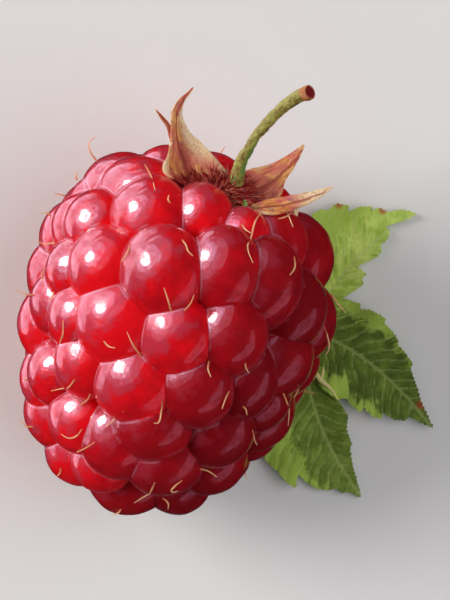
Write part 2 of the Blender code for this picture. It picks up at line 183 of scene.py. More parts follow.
def edit(thing, kind="VERT", chosen=None):
    """Goes into edit mode with all of the thing selected, or only the chosen vertices, edges or faces."""
    only(thing)
    bpy.ops.object.mode_set(mode="EDIT")
    bpy.ops.mesh.select_mode(type=kind)
    bpy.ops.mesh.select_all(action="DESELECT" if chosen else "SELECT")
    if chosen:
        bpy.ops.object.mode_set(mode="OBJECT")
        mesh = thing.data
        for part in {"VERT": mesh.vertices, "EDGE": mesh.edges, "FACE": mesh.polygons}[kind]:
            part.select = chosen(part)
        bpy.ops.object.mode_set(mode="EDIT")


def smooth(thing, degrees):
    """Shades the thing smooth, apart from edges that turn by more than this."""
    only(thing)
    bpy.ops.object.shade_smooth_by_angle(angle=math.radians(degrees))


def settle(thing):
    """Moves the object's own place, turn and scale into its mesh."""
    only(thing)
    bpy.ops.object.transform_apply(location=True, rotation=True, scale=True)


def apply_modifiers(thing):
    only(thing)
    for modifier in list(thing.modifiers):
        bpy.ops.object.modifier_apply(modifier=modifier.name)


def joined(name, things):
    """One object made of all of these."""
    only(*things)
    bpy.ops.object.join()
    whole = bpy.context.object
    whole.name = name
    return whole


def spots_of(thing):
    """The places of the thing's vertices."""
    return np.array([vertex.co for vertex in thing.data.vertices])


def store(mesh, name, values, domain="POINT"):
    """Keeps a number on each vertex, face or corner, for the materials to read."""
    layer = mesh.attributes.new(name, "FLOAT", domain)
    layer.data.foreach_set("value", np.asarray(values, dtype=np.float32))


def add_subdivision(thing, levels, kind="CATMULL_CLARK"):
    finer = thing.modifiers.new("finer", "SUBSURF")
    finer.subdivision_type = kind
    finer.levels = levels
    finer.render_levels = levels


def add_lumps(thing, size, height):
    """Soft random lumps of this size and height."""
    texture = bpy.data.textures.new(thing.name + "_lumps", "CLOUDS")
    texture.noise_scale = size
    texture.noise_depth = 2
    lumps = thing.modifiers.new("lumps", "DISPLACE")
    lumps.texture = texture
    lumps.texture_coords = "LOCAL"
    lumps.strength = height
    lumps.mid_level = 0.5


def store_even(thing, **values):
    """Stores one value on all the thing's vertices under each name."""
    for name, value in values.items():
        store(thing.data, name, [value] * len(thing.data.vertices))


def dress(piece, node, material, replaces=True):
    """Gives a finished piece its material, body and slot, and hides the solid that it stands for."""
    piece.data.materials.clear()
    piece.data.materials.append(material)
    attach(piece, "root")
    if replaces:
        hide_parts(node)
    print(f"{piece.name}: {sum(len(p.vertices) - 2 for p in piece.data.polygons)} triangles")


# %% [markdown]
# ## The fruit: where each drupelet sits
# A raspberry is many small round fruits, its drupelets, on one body. The body here is a plump form round a
# slightly bent middle line, fuller towards the crown. The drupelets that the camera sees are listed one by
# one, as the photograph shows them. Those below and behind are placed by a rule: each goes where the most
# room is left, and then they share the room evenly. Near one bare place, in the gap between two sepals, they
# stay small. It is the same rule that the solid follows.

# %% The body of the fruit
TIP = (125, 478, 8.3 * MM)
MIDDLE = (168, 338, 9.9 * MM)
CROWN = (214, 197, 13.5 * MM)
BODY_RADIUS = 8.7 * MM
WIDEST_AT = 0.69
TIP_POWER = 2.25
CROWN_POWER = 2.2
BODY_STEPS = 60
BODY_SIDES = 90
INNER_PART = (0.25, 0.75)
HIDDEN_WIDTHS = (41, 59)
BARE_PLACE = (285, 192, 10.5 * MM)
BARE_REACH = 2.6 * MM
BARE_SHRINK = 0.4
BODY_LINE = [at(*place) for place in (TIP, MIDDLE, CROWN)]


def curve_point(points, t):
    """A point of the quadratic curve with these three control points, and its direction there."""
    a, b, c = (Vector(p) for p in points)
    place = a * (1 - t) ** 2 + b * (2 * t * (1 - t)) + c * t**2
    heading = ((b - a) * (1 - t) + (c - b) * t).normalized()
    return place, heading


def body_girth(t):
    """The body's radius at this share of the way from tip to crown."""
    if t < WIDEST_AT:
        share = (WIDEST_AT - t) / WIDEST_AT
        return BODY_RADIUS * (1 - share**TIP_POWER) ** (1 / TIP_POWER)
    share = (t - WIDEST_AT) / (1 - WIDEST_AT)
    return BODY_RADIUS * (1 - share**CROWN_POWER) ** (1 / CROWN_POWER)


def ring_at(i, steps):
    """How far along the body its ring number i is. Rings stand closer at the ends, where it curves most."""
    return (1 - math.cos(math.pi * i / steps)) / 2


def ring_frame(t):
    """The middle of the body's ring at this share, the heading there, and two directions across it."""
    middle, heading = curve_point(BODY_LINE, t)
    across = heading.cross(Vector((0, 0, 1))).normalized()
    return middle, heading, across, across.cross(heading)


def body_rows():
    """Rings of points round the body, from tip to crown."""
    rows = []
    for i in range(BODY_STEPS + 1):
        t = ring_at(i, BODY_STEPS)
        middle, _heading, across, upward = ring_frame(t)
        if i in (0, BODY_STEPS):
            rows.append([middle])
            continue
        turns = (2 * math.pi * (j + 0.5 * (i % 2)) / BODY_SIDES for j in range(BODY_SIDES))
        rows.append([middle + body_girth(t) * (across * math.cos(a) + upward * math.sin(a)) for a in turns])
    return rows


def body_places():
    """Places on the body for drupelets: their points, outward directions, shares of the skin and widths."""
    first, last = INNER_PART
    at_tip, at_crown = HIDDEN_WIDTHS
    points, outward, shares, widths = [], [], [], []
    for i, row in enumerate(body_rows()):
        t = ring_at(i, BODY_STEPS)
        middle = curve_point(BODY_LINE, min(max(i / BODY_STEPS, first), last))[0]
        for point in row:
            points.append(point)
            outward.append((point - middle).normalized())
            shares.append(max(body_girth(t), MM) * math.sin(math.pi * (i + 0.5) / BODY_STEPS))
            near = math.exp(-(((point - at(*BARE_PLACE)).length / BARE_REACH) ** 2))
            widths.append((at_tip + (at_crown - at_tip) * t) * (1 - BARE_SHRINK * near))
    return np.array(points), np.array(outward), np.array(shares), np.array(widths)


# %% The drupelets' places
# Each is (x, y, width, height) in pixels, in rows from the crown to the tip.
SEEN_DRUPELETS = (
    ((163, 166, 58, 66), (222, 177, 46, 46), (116, 189, 64, 60), (135, 195, 72, 54), (101, 205, 42, 42)),
    ((65, 230, 54, 54), (82, 227, 44, 48), (99, 222, 48, 50), (149, 215, 56, 58), (202, 216, 50, 54)),
    ((241, 236, 44, 44), (275, 245, 52, 54), (303, 257, 54, 62), (60, 270, 54, 58), (79, 272, 44, 50)),
    ((105, 264, 52, 56), (164, 272, 60, 66), (221, 268, 54, 62), (266, 285, 54, 66), (291, 306, 52, 60)),
    ((304, 322, 50, 60), (52, 322, 54, 58), (80, 320, 48, 52), (118, 322, 60, 64), (178, 333, 54, 56)),
    ((228, 332, 52, 60), (277, 355, 58, 62), (292, 362, 46, 52), (49, 378, 44, 52), (62, 372, 46, 48)),
    ((86, 362, 48, 52), (136, 380, 60, 60), (199, 383, 58, 62), (243, 380, 48, 60), (55, 412, 52, 54)),
    ((82, 418, 50, 48), (118, 440, 50, 58), (155, 422, 56, 56), (218, 428, 54, 58), (262, 415, 48, 58)),
    ((264, 438, 44, 46), (78, 452, 52, 50), (163, 460, 58, 54), (211, 459, 52, 52)),
    ((127, 482, 56, 48), (178, 484, 56, 46)),
)
RESTING_DRUPELETS = ((132, 338, 64, 64), (186, 352, 64, 64), (180, 278, 72, 72))
LEAST_ROOM = 0.3
EVENING_ROUNDS = 12
FULLNESS = 1.22
CALYX_CENTRE = (227, 189, 14.0 * MM)
CALYX_ROOM = 3.0 * MM
SPREAD = 1.0 * MM
MEAN_DEPTH = 2.45 * MM
EVENNESS = 0.4


def seen_place(points, outward, x, y, from_above):
    """The place on the upper or the lower side of the body that is nearest the sight line of this pixel."""
    reach = PX * (EYE_HEIGHT - points[:, 2]) / (EYE_HEIGHT - BELLY_HEIGHT)
    miss = np.hypot((x - ORIGIN_PX[0]) * reach - points[:, 0], (ORIGIN_PX[1] - y) * reach - points[:, 1])
    miss[(outward[:, 2] > 0) != from_above] = 1
    return int(np.argmin(miss))


def drupelet_places():
    """Where each drupelet sits, as (point, outward direction, width, height): the seen ones come first."""
    points, outward, shares, widths = body_places()
    size = PX * FULLNESS
    spots = []
    for row in SEEN_DRUPELETS:
        for x, y, width, height in row:
            spots.append((seen_place(points, outward, x, y, True), width * size, height * size))
    for x, y, width, height in RESTING_DRUPELETS:
        spots.append((seen_place(points, outward, x, y, False), width * size, height * size))
    given = len(spots)
    calyx_room = np.linalg.norm(points - at(*CALYX_CENTRE), axis=1) - CALYX_ROOM

    def rooms():
        """The room from each place to each drupelet, less that drupelet's own radius."""
        gaps = [np.linalg.norm(points - points[i], axis=1) - (w + h) / 4 for i, w, h in spots]
        return np.array(gaps)

    while True:
        room = np.minimum(rooms().min(axis=0), calyx_room) - LEAST_ROOM * widths * size / 2
        roomiest = int(np.argmax(room))
        if room[roomiest] < 0:
            break
        spots.append((roomiest, widths[roomiest] * size, widths[roomiest] * size))
    for _ in range(EVENING_ROUNDS):
        owner = np.argmin(np.vstack((rooms(), calyx_room)), axis=0)
        for k in range(given, len(spots)):
            own = owner == k
            middle = np.average(points[own], axis=0, weights=shares[own])
            spots[k] = (int(np.argmin(np.linalg.norm(points - middle, axis=1))), *spots[k][1:])
    return [(Vector(points[i]), Vector(outward[i]), w, h) for i, w, h in spots]


def drupelet_radii(point, width, height):
    """The drupelet's half width, half height and depth. It spreads a little, but less near the calyx."""
    room = (point - at(*CALYX_CENTRE)).length - CALYX_ROOM
    spread = SPREAD * min(max(room / CALYX_ROOM, 0), 1)
    deep = (1 - EVENNESS) * (width + height) / 4 + EVENNESS * MEAN_DEPTH
    return (width + spread) / 2, (height + spread) / 2, deep


places = drupelet_places()
print(len(places), "drupelets")

# %% [markdown]
# ## The fruit: its skin
# One drupelet is modelled once, as a ball whose outer end is drawn out a little, where its style grew. A copy
# is stretched for each place and sunk in the body, and one Boolean union makes them a single skin with true
# creases, as on the fruit, with no faces left inside. MANIFOLD is the quick solver for so many closed meshes.

# %% One drupelet, copied to every place
DRUPELET_SIDES = 48
DRUPELET_RINGS = 32
DRUPELET_POINT = 0.05
OUTER_END = 0.99
POINT_WIDTH = 0.8
UPRIGHT_SLANT = 0.3


def model_drupelet():
    """A ball one unit in radius, drawn out at its outer end."""
    bpy.ops.mesh.primitive_uv_sphere_add(segments=DRUPELET_SIDES, ring_count=DRUPELET_RINGS, radius=1)
    ball = bpy.context.object
    edit(ball, "VERT", lambda vertex: vertex.co.z > OUTER_END)
    bpy.ops.transform.translate(
        value=(0, 0, DRUPELET_POINT),
        use_proportional_edit=True,
        proportional_edit_falloff="SMOOTH",
        proportional_size=POINT_WIDTH,
    )
    bpy.ops.object.mode_set(mode="OBJECT")
    return ball


def drupelet_matrix(point, outward, width, height):
    """Stretches the one-unit ball to a drupelet's size, with its outer end pointing out."""
    across = Vector((0, 1, 0)).cross(outward)
    if across.length < UPRIGHT_SLANT:
        across = Vector((1, 0, 0))
    across = (across - outward * across.dot(outward)).normalized()
    along = outward.cross(across)
    wide, high, deep = drupelet_radii(point, width, height)
    sides = (across * wide, along * high, outward * deep, point)
    matrix = Matrix([side.to_4d() for side in sides]).transposed()
    matrix[3] = (0, 0, 0, 1)
    return matrix


ball = model_drupelet()
frames = [drupelet_matrix(*place) for place in places]
drupelets = []
for i, matrix in enumerate(frames):
    copy = ball.copy()
    copy.data = ball.data.copy()
    copy.data.transform(matrix)
    drupelets.append(copy)
bpy.data.objects.remove(ball, do_unlink=True)
print(len(drupelets), "drupelets of", len(drupelets[0].data.polygons), "faces each")

# %% The body and the union
CORE_STEPS = 24
CORE_SIDES = 32
CORE_PROUD = 0.3 * MM


def model_core():
    """The body between the drupelets: a ball whose rings are set to the body's rings."""
    bpy.ops.mesh.primitive_uv_sphere_add(segments=CORE_SIDES, ring_count=CORE_STEPS, radius=1)
    core = bpy.context.object
    core.name = "drupelets"
    for vertex in core.data.vertices:
        x, y, z = vertex.co
        i = round(CORE_STEPS * math.acos(max(-1, min(1, -z))) / math.pi)
        t = ring_at(i, CORE_STEPS)
        middle, heading, across, upward = ring_frame(t)
        if i in (0, CORE_STEPS):
            vertex.co = middle + heading * (CORE_PROUD if i else -CORE_PROUD)
            continue
        turn = math.atan2(y, x)
        girth = body_girth(t) + CORE_PROUD
        vertex.co = middle + girth * (across * math.cos(turn) + upward * math.sin(turn))
    edit(core)
    bpy.ops.mesh.normals_make_consistent(inside=False)
    bpy.ops.object.mode_set(mode="OBJECT")
    return core


def fuse(first, others):
    """One closed skin of the first object and all the others."""
    group = bpy.data.collections.new("to_fuse")
    bpy.context.scene.collection.children.link(group)
    for other in others:
        group.objects.link(other)
    join = first.modifiers.new("join", "BOOLEAN")
    join.operation = "UNION"
    join.solver = "MANIFOLD"
    join.operand_type = "COLLECTION"
    join.collection = group
    apply_modifiers(first)
    for other in others:
        bpy.data.objects.remove(other, do_unlink=True)
    bpy.data.collections.remove(group)
    return first


berry = fuse(model_core(), drupelets)
print("berry after the union:", len(berry.data.polygons), "faces")

# %% Press the fruit flat where it rests
HAIR = 0.001 * MM
edit(berry)
bpy.ops.mesh.bisect(plane_co=(0, 0, 0), plane_no=(0, 0, 1), use_fill=True, clear_inner=True, threshold=HAIR)
bpy.ops.object.mode_set(mode="OBJECT")
print("lowest point", min(vertex.co.z for vertex in berry.data.vertices))

# %% [markdown]
# ## Patches and grain
# Dry leaf, felt, bark and skin all vary in two ways: broad patches of lighter and darker colour, and a fine
# grain. One node group makes both from the place on the object, and each material sets its own scales.

# %% Helpers for nodes
def node(tree, kind, **settings):
    """Adds a node, and gives it these settings, or these values of its inputs."""
    made = tree.nodes.new(kind)
    for name, value in settings.items():
        if name in made.inputs:
            made.inputs[name].default_value = value
        else:
            setattr(made, name, value)
    return made


def feed(socket, value):
    """Links a socket to another socket, or sets it to a plain value."""
    if isinstance(value, bpy.types.NodeSocket):
        value.id_data.links.new(value, socket)
    else:
        socket.default_value = value


def value_of(tree, name):
    """A number that is stored on the mesh."""
    return node(tree, "ShaderNodeAttribute", attribute_name=name).outputs["Fac"]


def ramp(source, *stops):
    """Colours by a value: each stop is a position and a colour."""
    made = source.id_data.nodes.new("ShaderNodeValToRGB")
    while len(made.color_ramp.elements) < len(stops):
        made.color_ramp.elements.new(0.5)
    for element, (position, colour) in zip(made.color_ramp.elements, stops):
        element.position = position
        element.color = (*colour, 1)
    feed(made.inputs["Fac"], source)
    return made.outputs["Color"]


def mask(source, first, last, most=1.0, least=0.0):
    """A share that goes from the least to the most as the value goes from first to last."""
    made = node(source.id_data, "ShaderNodeMapRange")
    limits = (("From Min", first), ("From Max", last), ("To Min", least), ("To Max", most))
    for name, value in (("Value", source), *limits):
        feed(made.inputs[name], value)
    return made.outputs["Result"]


def math_of(operation, first, *values):
    """One step of arithmetic with a socket, and with other sockets or plain numbers."""
    made = node(first.id_data, "ShaderNodeMath", operation=operation)
    for socket, value in zip(made.inputs, (first, *values)):
        feed(socket, value)
    return made.outputs["Value"]


SEED_STEP = 31.0


def fibres(along, across, seed, spells, strands):
    """Noise drawn out along a piece: this many spells along it, and this many strands across it."""
    place = along.id_data.nodes.new("ShaderNodeCombineXYZ")
    for socket, value, scale in zip(place.inputs, (along, across, seed), (spells, strands, SEED_STEP)):
        feed(socket, math_of("MULTIPLY", value, scale))
    cloth = node(along.id_data, "ShaderNodeTexNoise", Scale=1.0, Detail=4, Roughness=0.6)
    feed(cloth.inputs["Vector"], place.outputs["Vector"])
    return mask(cloth.outputs["Fac"], 0.3, 0.7)


def mix(factor, first, second):
    """The first colour, changed to the second by this factor."""
    made = node(factor.id_data, "ShaderNodeMix", data_type="RGBA")
    for name, value in (("Factor", factor), ("A", first), ("B", second)):
        feed(made.inputs[name], (*value, 1) if isinstance(value, tuple) else value)
    return made.outputs["Result"]


def relief(shader, height, strength, distance):
    """Fine relief that only the shading shows."""
    made = node(shader.id_data, "ShaderNodeBump", Strength=strength, Distance=distance)
    feed(made.inputs["Height"], height)
    feed(shader.inputs["Normal"], made.outputs["Normal"])


# %% A node group for patches and grain
def build_mottle():
    group = bpy.data.node_groups.new("mottle", "ShaderNodeTree")
    for name, value in (("Patch Scale", 400.0), ("Grain Scale", 3000.0), ("Contrast", 1.0)):
        group.interface.new_socket(name, in_out="INPUT", socket_type="NodeSocketFloat").default_value = value
    for name in ("Patches", "Grain"):
        group.interface.new_socket(name, in_out="OUTPUT", socket_type="NodeSocketFloat")
    start = group.nodes.new("NodeGroupInput")
    end = group.nodes.new("NodeGroupOutput")
    place = group.nodes.new("ShaderNodeTexCoord")
    for scale, result, detail in (("Patch Scale", "Patches", 3), ("Grain Scale", "Grain", 5)):
        cloud = node(group, "ShaderNodeTexNoise", Detail=detail, Roughness=0.6)
        feed(cloud.inputs["Vector"], place.outputs["Object"])
        feed(cloud.inputs["Scale"], start.outputs[scale])
        centred = math_of("SUBTRACT", cloud.outputs["Fac"], 0.5)
        stretched = math_of("MULTIPLY_ADD", centred, start.outputs["Contrast"], 0.5)
        stretched.node.use_clamp = True
        feed(end.inputs[result], stretched)
    return group


MOTTLE = build_mottle()


def add_mottle(tree, patch_scale, grain_scale, contrast):
    """The group in a material: returns its patches and its grain."""
    made = tree.nodes.new("ShaderNodeGroup")
    made.node_tree = MOTTLE
    for name, value in (("Patch Scale", patch_scale), ("Grain Scale", grain_scale), ("Contrast", contrast)):
        made.inputs[name].default_value = value
    return made.outputs["Patches"], made.outputs["Grain"]


print("node group:", MOTTLE.name)

# %% [markdown]
# ## The fruit: colour and gloss
# Ripe skin is clear red over juicy flesh, so light sinks in and glows out again: subsurface scattering. Each
# drupelet is a deeper red by a random share of its own ripeness and by painted shade, which grows towards the
# fruit's lower right. On the skin that faces the lights at the upper left lie a dusty pink painted reflection
# of the sky's haze and, beside the creases, a thin pale pink painted rim light. Three numbers are stored on
# the
# mesh for that: one for each drupelet's painted shade and ripeness, `rise`, which grows from a crease
# outwards, and one for how far the skin faces the lights at the upper left.
# The gloss is one smooth coat over a duller skin, so that the window is sharp and the sky a soft haze.

# %% Numbers on the skin
RISE_REACH = 0.30
# Painted shade: the drupelets are painted a deeper red towards the fruit's lower right, away from the lights.
PAINTED_SHADE_FROM_PX = (200, 300)
PAINTED_SHADE_TOWARD = (0.85, 0.53)
PAINTED_SHADE_REACH_PX = (-12, 72)
RIPE_DRAW = 0.22
# The way to the lights at the upper left, for the painted haze reflection and the painted rim light.
UPPER_LEFT_LIGHT_WAY = Vector((-0.70, 0.50, 0.51)).normalized()
ripeness = random.Random(11)


def shade_and_ripeness_of(matrix):
    """How deep a red a drupelet is painted, from 0 to 1: painted shade, most at the fruit's lower right, with
    a random share for its own ripeness.
    """
    first, last = PAINTED_SHADE_REACH_PX
    x = matrix.translation.x / PX + ORIGIN_PX[0]
    y = ORIGIN_PX[1] - matrix.translation.y / PX
    far = (x - PAINTED_SHADE_FROM_PX[0]) * PAINTED_SHADE_TOWARD[0] + (y - PAINTED_SHADE_FROM_PX[1]) * PAINTED_SHADE_TOWARD[1]
    share = min(max((far - first) / (last - first), 0), 1)
    return (1 - RIPE_DRAW) * share + RIPE_DRAW * ripeness.random()


drupelet_shade_and_ripeness = np.array([shade_and_ripeness_of(matrix) for matrix in frames])
inverse = np.array([np.array(matrix.inverted()) for matrix in frames])


def drupelet_distances(points):
    """How far each point is from each drupelet, in that drupelet's own radii: 1 is on its skin."""
    flat = np.concatenate((points, np.ones((len(points), 1))), axis=1)
    local = np.einsum("kij,pj->pki", inverse, flat)[..., :3]
    return np.linalg.norm(local, axis=2)


def write_skin_numbers():
    mesh = berry.data
    points = spots_of(berry)
    nearest = np.sort(drupelet_distances(points), axis=1)
    store(mesh, "rise", np.clip((nearest[:, 1] - 1) / RISE_REACH, 0, 1))
    centres = np.array([p.center for p in mesh.polygons])
    owner = np.argmin(np.abs(drupelet_distances(centres) - 1), axis=1)
    store(mesh, "shade_and_ripeness", drupelet_shade_and_ripeness[owner], "FACE")
    roots = np.array([matrix.translation for matrix in frames])
    corner_of = np.array([loop.vertex_index for loop in mesh.loops])
    face_of = np.repeat(np.arange(len(mesh.polygons)), [p.loop_total for p in mesh.polygons])
    outward = points[corner_of] - roots[owner[face_of]]
    outward /= np.linalg.norm(outward, axis=1)[:, None]
    store(mesh, "lightward", outward @ np.array(UPPER_LEFT_LIGHT_WAY), "CORNER")


write_skin_numbers()
smooth(berry, 32)
print("ripeness:", round(drupelet_shade_and_ripeness.min(), 2), "to", round(drupelet_shade_and_ripeness.max(), 2))

# %% Uneven skin
# Skin this thin shows the flesh under it, so it is never quite round, and its highlights have ragged edges.
SKIN_LUMP_SIZE = 1.3 * MM
SKIN_LUMPS = 0.10 * MM
add_lumps(berry, SKIN_LUMP_SIZE, SKIN_LUMPS)
apply_modifiers(berry)
for vertex in berry.data.vertices:
    vertex.co.z = max(vertex.co.z, 0)
print("berry rests at", min(vertex.co.z for vertex in berry.data.vertices))

# %% The fruit's material
# Reds from bright to deep. The deep ones carry the painted shade at the fruit's lower right.
REDS = ((0.80, 0.005, 0.012), (0.44, 0.004, 0.010), (0.21, 0.003, 0.007))
# Painted reflection of the sky's haze.
PAINTED_HAZE_PINK = (0.50, 0.055, 0.10)
# Painted rim light.
PAINTED_RIM_PINK = (0.85, 0.36, 0.46)


def berry_material():
    material, shader, tree = plain_material(
        "berry_skin",
        REDS[0],
        0.26,
        Specular_IOR_Level=0.20,
        Subsurface_Weight=0.6,
        Subsurface_Radius=(1.0, 0.10, 0.07),
        Subsurface_Scale=1.8 * MM,
        Coat_Roughness=0.03,
        Sheen_Weight=0.20,
        Sheen_Roughness=0.25,
        Sheen_Tint=(1.0, 0.38, 0.50, 1),
    )
    patches, grain = add_mottle(tree, 620, 1500, 2.2)
    rise, shade_and_ripeness = value_of(tree, "rise"), value_of(tree, "shade_and_ripeness")
    # Painted shade: a deeper red where the stored shade and ripeness is high, broken by patches.
    tone = math_of("MULTIPLY_ADD", patches, 0.30, shade_and_ripeness)
    reds = ramp(tone, *zip((0.20, 0.50, 1.00), REDS))
    # Painted reflection: a dusty pink haze of the sky on the skin that faces the lights, with patchy edges,
    # fading in the painted shade.
    cloud = math_of("MULTIPLY_ADD", patches, 0.9, value_of(tree, "lightward"))
    fading = mask(shade_and_ripeness, 0.1, 0.8, 0.35, 1.0)
    painted_haze = math_of("MULTIPLY", mask(cloud, 0.88, 1.22, 0.58), fading)
    hazed = mix(painted_haze, reds, PAINTED_HAZE_PINK)
    # Painted rim light: a thin pale pink band beside the creases, only on the skin that faces the lights.
    band = math_of("MULTIPLY", mask(rise, 0.04, 0.10), mask(rise, 0.24, 0.13))
    lit_side = math_of("MULTIPLY", mask(cloud, 0.90, 1.20, 0.55), fading)
    rim_lit = mix(math_of("MULTIPLY", band, lit_side), hazed, PAINTED_RIM_PINK)
    feed(shader.inputs["Base Color"], rim_lit)
    feed(shader.inputs["Coat Weight"], mask(grain, 0.25, 0.6, 1.0, 0.3))
    relief(shader, grain, 0.5, 0.08 * MM)
    return material


dress(berry, "berry", berry_material())

# %% [markdown]
# ## Threads and lines
# Styles, stamens, stalks and the edges of sepals all start as a drawn line. A Bezier curve with automatic
# handles runs smoothly through a few points, its bevel makes it round, and each point's radius tapers it.
# Once it is a mesh, every vertex also keeps how far along the line it lies, from 0 at the root to 1 at the
# tip, so that colour can change along it.

# %% Draw a line or a thread
def shares_along(points, path):
    """How far along the path, from 0 to 1, each point lies."""
    legs = np.diff(path, axis=0)
    spans = np.linalg.norm(legs, axis=1)
    starts = np.concatenate(([0], np.cumsum(spans)))
    best = np.full(len(points), np.inf)
    shares = np.zeros(len(points))
    for start, leg, span, before in zip(path, legs, spans, starts):
        part = np.clip((points - start) @ leg / span**2, 0, 1)
        far = np.linalg.norm(start + part[:, None] * leg - points, axis=1)
        closer = far < best
        best[closer] = far[closer]
        shares[closer] = (before + part[closer] * span) / starts[-1]
    return shares


def draw(name, points, radii, thickness, steps=4, sides=1):
    """A line through these points, made a mesh. Its radius at each point is a share of the thickness."""
    bpy.ops.curve.primitive_bezier_curve_add()
    line = bpy.context.object
    line.name = name
    line.location = (0, 0, 0)
    spline = line.data.splines[0]
    spline.bezier_points.add(len(points) - len(spline.bezier_points))
    for knot, point, radius in zip(spline.bezier_points, points, radii):
        knot.handle_left_type = "AUTO"
        knot.handle_right_type = "AUTO"
        knot.co = point
        knot.radius = radius
    line.data.resolution_u = steps
    line.data.bevel_depth = thickness
    line.data.bevel_resolution = sides
    line.data.use_fill_caps = True
    only(line)
    bpy.ops.object.convert(target="MESH")
    made = bpy.context.object
    store(made.data, "along", shares_along(spots_of(made), np.array([tuple(p) for p in points])))
    return made


# %% [markdown]
# ## Styles
# Each drupelet grew from one ovary, and many keep their dry style: a bent thread about a ninth of a
# millimetre thick and one or two long. Those that the camera sees follow the photograph. A ray from the eye
# finds the skin under each of their points, so that they lie on the fruit from every side. Each drupelet that
# faces down gets one by a rule, with seeded draws.

# %% The styles that are seen
# Each runs from its root to its tip, in pixels.
SEEN_STYLES = (
    ((96, 160), (90, 151), (89, 143), (95, 137)),
    ((77, 180), (76, 176), (77, 171)),
    ((50, 215), (47, 213), (41, 214)),
    ((63, 245), (52, 243), (45, 244), (37, 241)),
    ((33, 295), (25, 294), (16, 290)),
    ((145, 165), (151, 176), (155, 190)),
    ((170, 203), (168, 199), (169, 195)),
    ((131, 245), (127, 253), (121, 262)),
    ((182, 240), (186, 245), (188, 251), (193, 256)),
    ((171, 311), (168, 300), (164, 288)),
    ((184, 311), (190, 304), (194, 295)),
    ((54, 292), (52, 297), (48, 302)),
    ((43, 286), (42, 277), (45, 268)),
    ((60, 343), (63, 333), (63, 320)),
    ((141, 356), (133, 345), (127, 332)),
    ((75, 379), (70, 386), (60, 389), (51, 391)),
    ((81, 405), (87, 400), (90, 394)),
    ((124, 411), (114, 420), (106, 427)),
    ((82, 429), (75, 437), (68, 438), (61, 434)),
    ((95, 442), (84, 449), (70, 453)),
    ((162, 401), (161, 413), (158, 423), (154, 423)),
    ((155, 482), (151, 491), (142, 498), (134, 503)),
    ((182, 480), (174, 487), (172, 492), (178, 491)),
    ((163, 498), (168, 503), (168, 509)),
    ((33, 427), (26, 426), (19, 420)),
    ((61, 468), (60, 473), (57, 476)),
    ((121, 509), (118, 513), (112, 515)),
    ((209, 361), (208, 369), (211, 377)),
    ((245, 363), (246, 368), (249, 373)),
    ((229, 391), (225, 400), (222, 409)),
    ((243, 406), (246, 410), (247, 415)),
    ((252, 430), (254, 438), (257, 445)),
    ((283, 393), (287, 403), (289, 414), (288, 426)),
    ((298, 385), (297, 392), (294, 398)),
    ((324, 327), (328, 339), (329, 348), (326, 355)),
    ((331, 294), (338, 304), (346, 313)),
    ((265, 210), (255, 222), (251, 238), (248, 250), (253, 263)),
    ((242, 225), (246, 230), (251, 233)),
    ((281, 207), (288, 215), (293, 227)),
    ((278, 219), (285, 217), (291, 213)),
    ((294, 257), (295, 267), (290, 275)),
    ((200, 469), (208, 471), (217, 477)),
    ((30, 372), (27, 378), (23, 381)),
    ((104, 341), (108, 346), (115, 348)),
)
STYLE_RADIUS = 0.058 * MM
STYLE_LIFT = (-0.05 * MM, 0.42 * MM)
STYLE_LIFT_DRAW = (0.6, 1.2)
STYLE_TAPER = (1.2, 0.45)
TAPER_POWER = 1.5
eye = Vector((middle.x, middle.y, EYE_HEIGHT))
skin = BVHTree.FromObject(berry, bpy.context.evaluated_depsgraph_get())
style_draws = random.Random(5)


def on_skin(x, y, lift, height):
    """The point of the skin that this pixel shows, raised by this much, or else one at this height."""
    toward = (at(x, y, BELLY_HEIGHT) - eye).normalized()
    hit, _normal, _face, _far = skin.ray_cast(eye, toward)
    if hit is None:
        return at(x, y, height)
    return hit - toward * lift


def taper(count, first, last):
    """Radii that shrink from the first to the last."""
    return [first + (last - first) * (k / (count - 1)) ** TAPER_POWER for k in range(count)]


def seen_style(i, spots):
    """A dry thread that lies over the fruit along these pixels."""
    root, free = STYLE_LIFT
    points = []
    height = BELLY_HEIGHT
    for k, (x, y) in enumerate(spots):
        share = k / (len(spots) - 1)
        lift = root + (free - root) * share * style_draws.uniform(*STYLE_LIFT_DRAW)
        points.append(on_skin(x, y, lift, height))
        height = points[-1].z
    return draw(f"style_{i}", points, taper(len(points), *STYLE_TAPER), STYLE_RADIUS)


threads = [seen_style(i, spots) for i, spots in enumerate(SEEN_STYLES)]
print(len(threads), "styles in view")

# %% The styles that are hidden
STYLE_LENGTH = (0.9 * MM, 1.5 * MM)
STYLE_BEND = (0.4, 0.9)
STYLE_ROOT = 0.97
STYLE_SHARES = (0, 0.35, 0.7, 1)
STYLE_RISE = 0.6
BEND_POWER = 1.6
FACES_DOWN = -0.1
TABLE_ROOM = 0.5 * MM


def pole_of(matrix):
    """The way from a drupelet's middle to its outer end."""
    return matrix.to_3x3() @ Vector((0, 0, 1))


def hidden_style(i, matrix):
    """A bent thread from the outer end of this drupelet, or none where it would go into the table."""
    pole = pole_of(matrix)
    out = pole.normalized()
    root = matrix.translation + pole * STYLE_ROOT
    side = out.orthogonal().normalized()
    side.rotate(Matrix.Rotation(style_draws.uniform(0, 2 * math.pi), 3, out))
    length = style_draws.uniform(*STYLE_LENGTH)
    bend = style_draws.uniform(*STYLE_BEND)
    points = []
    for share in STYLE_SHARES:
        points.append(root + length * (out * share * STYLE_RISE + side * share**BEND_POWER * bend))
    if min(point.z for point in points) < TABLE_ROOM:
        return None
    return draw(f"hidden_style_{i}", points, taper(len(points), *STYLE_TAPER), STYLE_RADIUS)


facing_down = [(i, matrix) for i, matrix in enumerate(frames) if pole_of(matrix).normalized().z < FACES_DOWN]
threads += [thread for thread in (hidden_style(i, matrix) for i, matrix in facing_down) if thread]
styles = joined("styles", threads)
only(styles)
bpy.ops.object.shade_smooth()
print(len(threads), "styles in all")

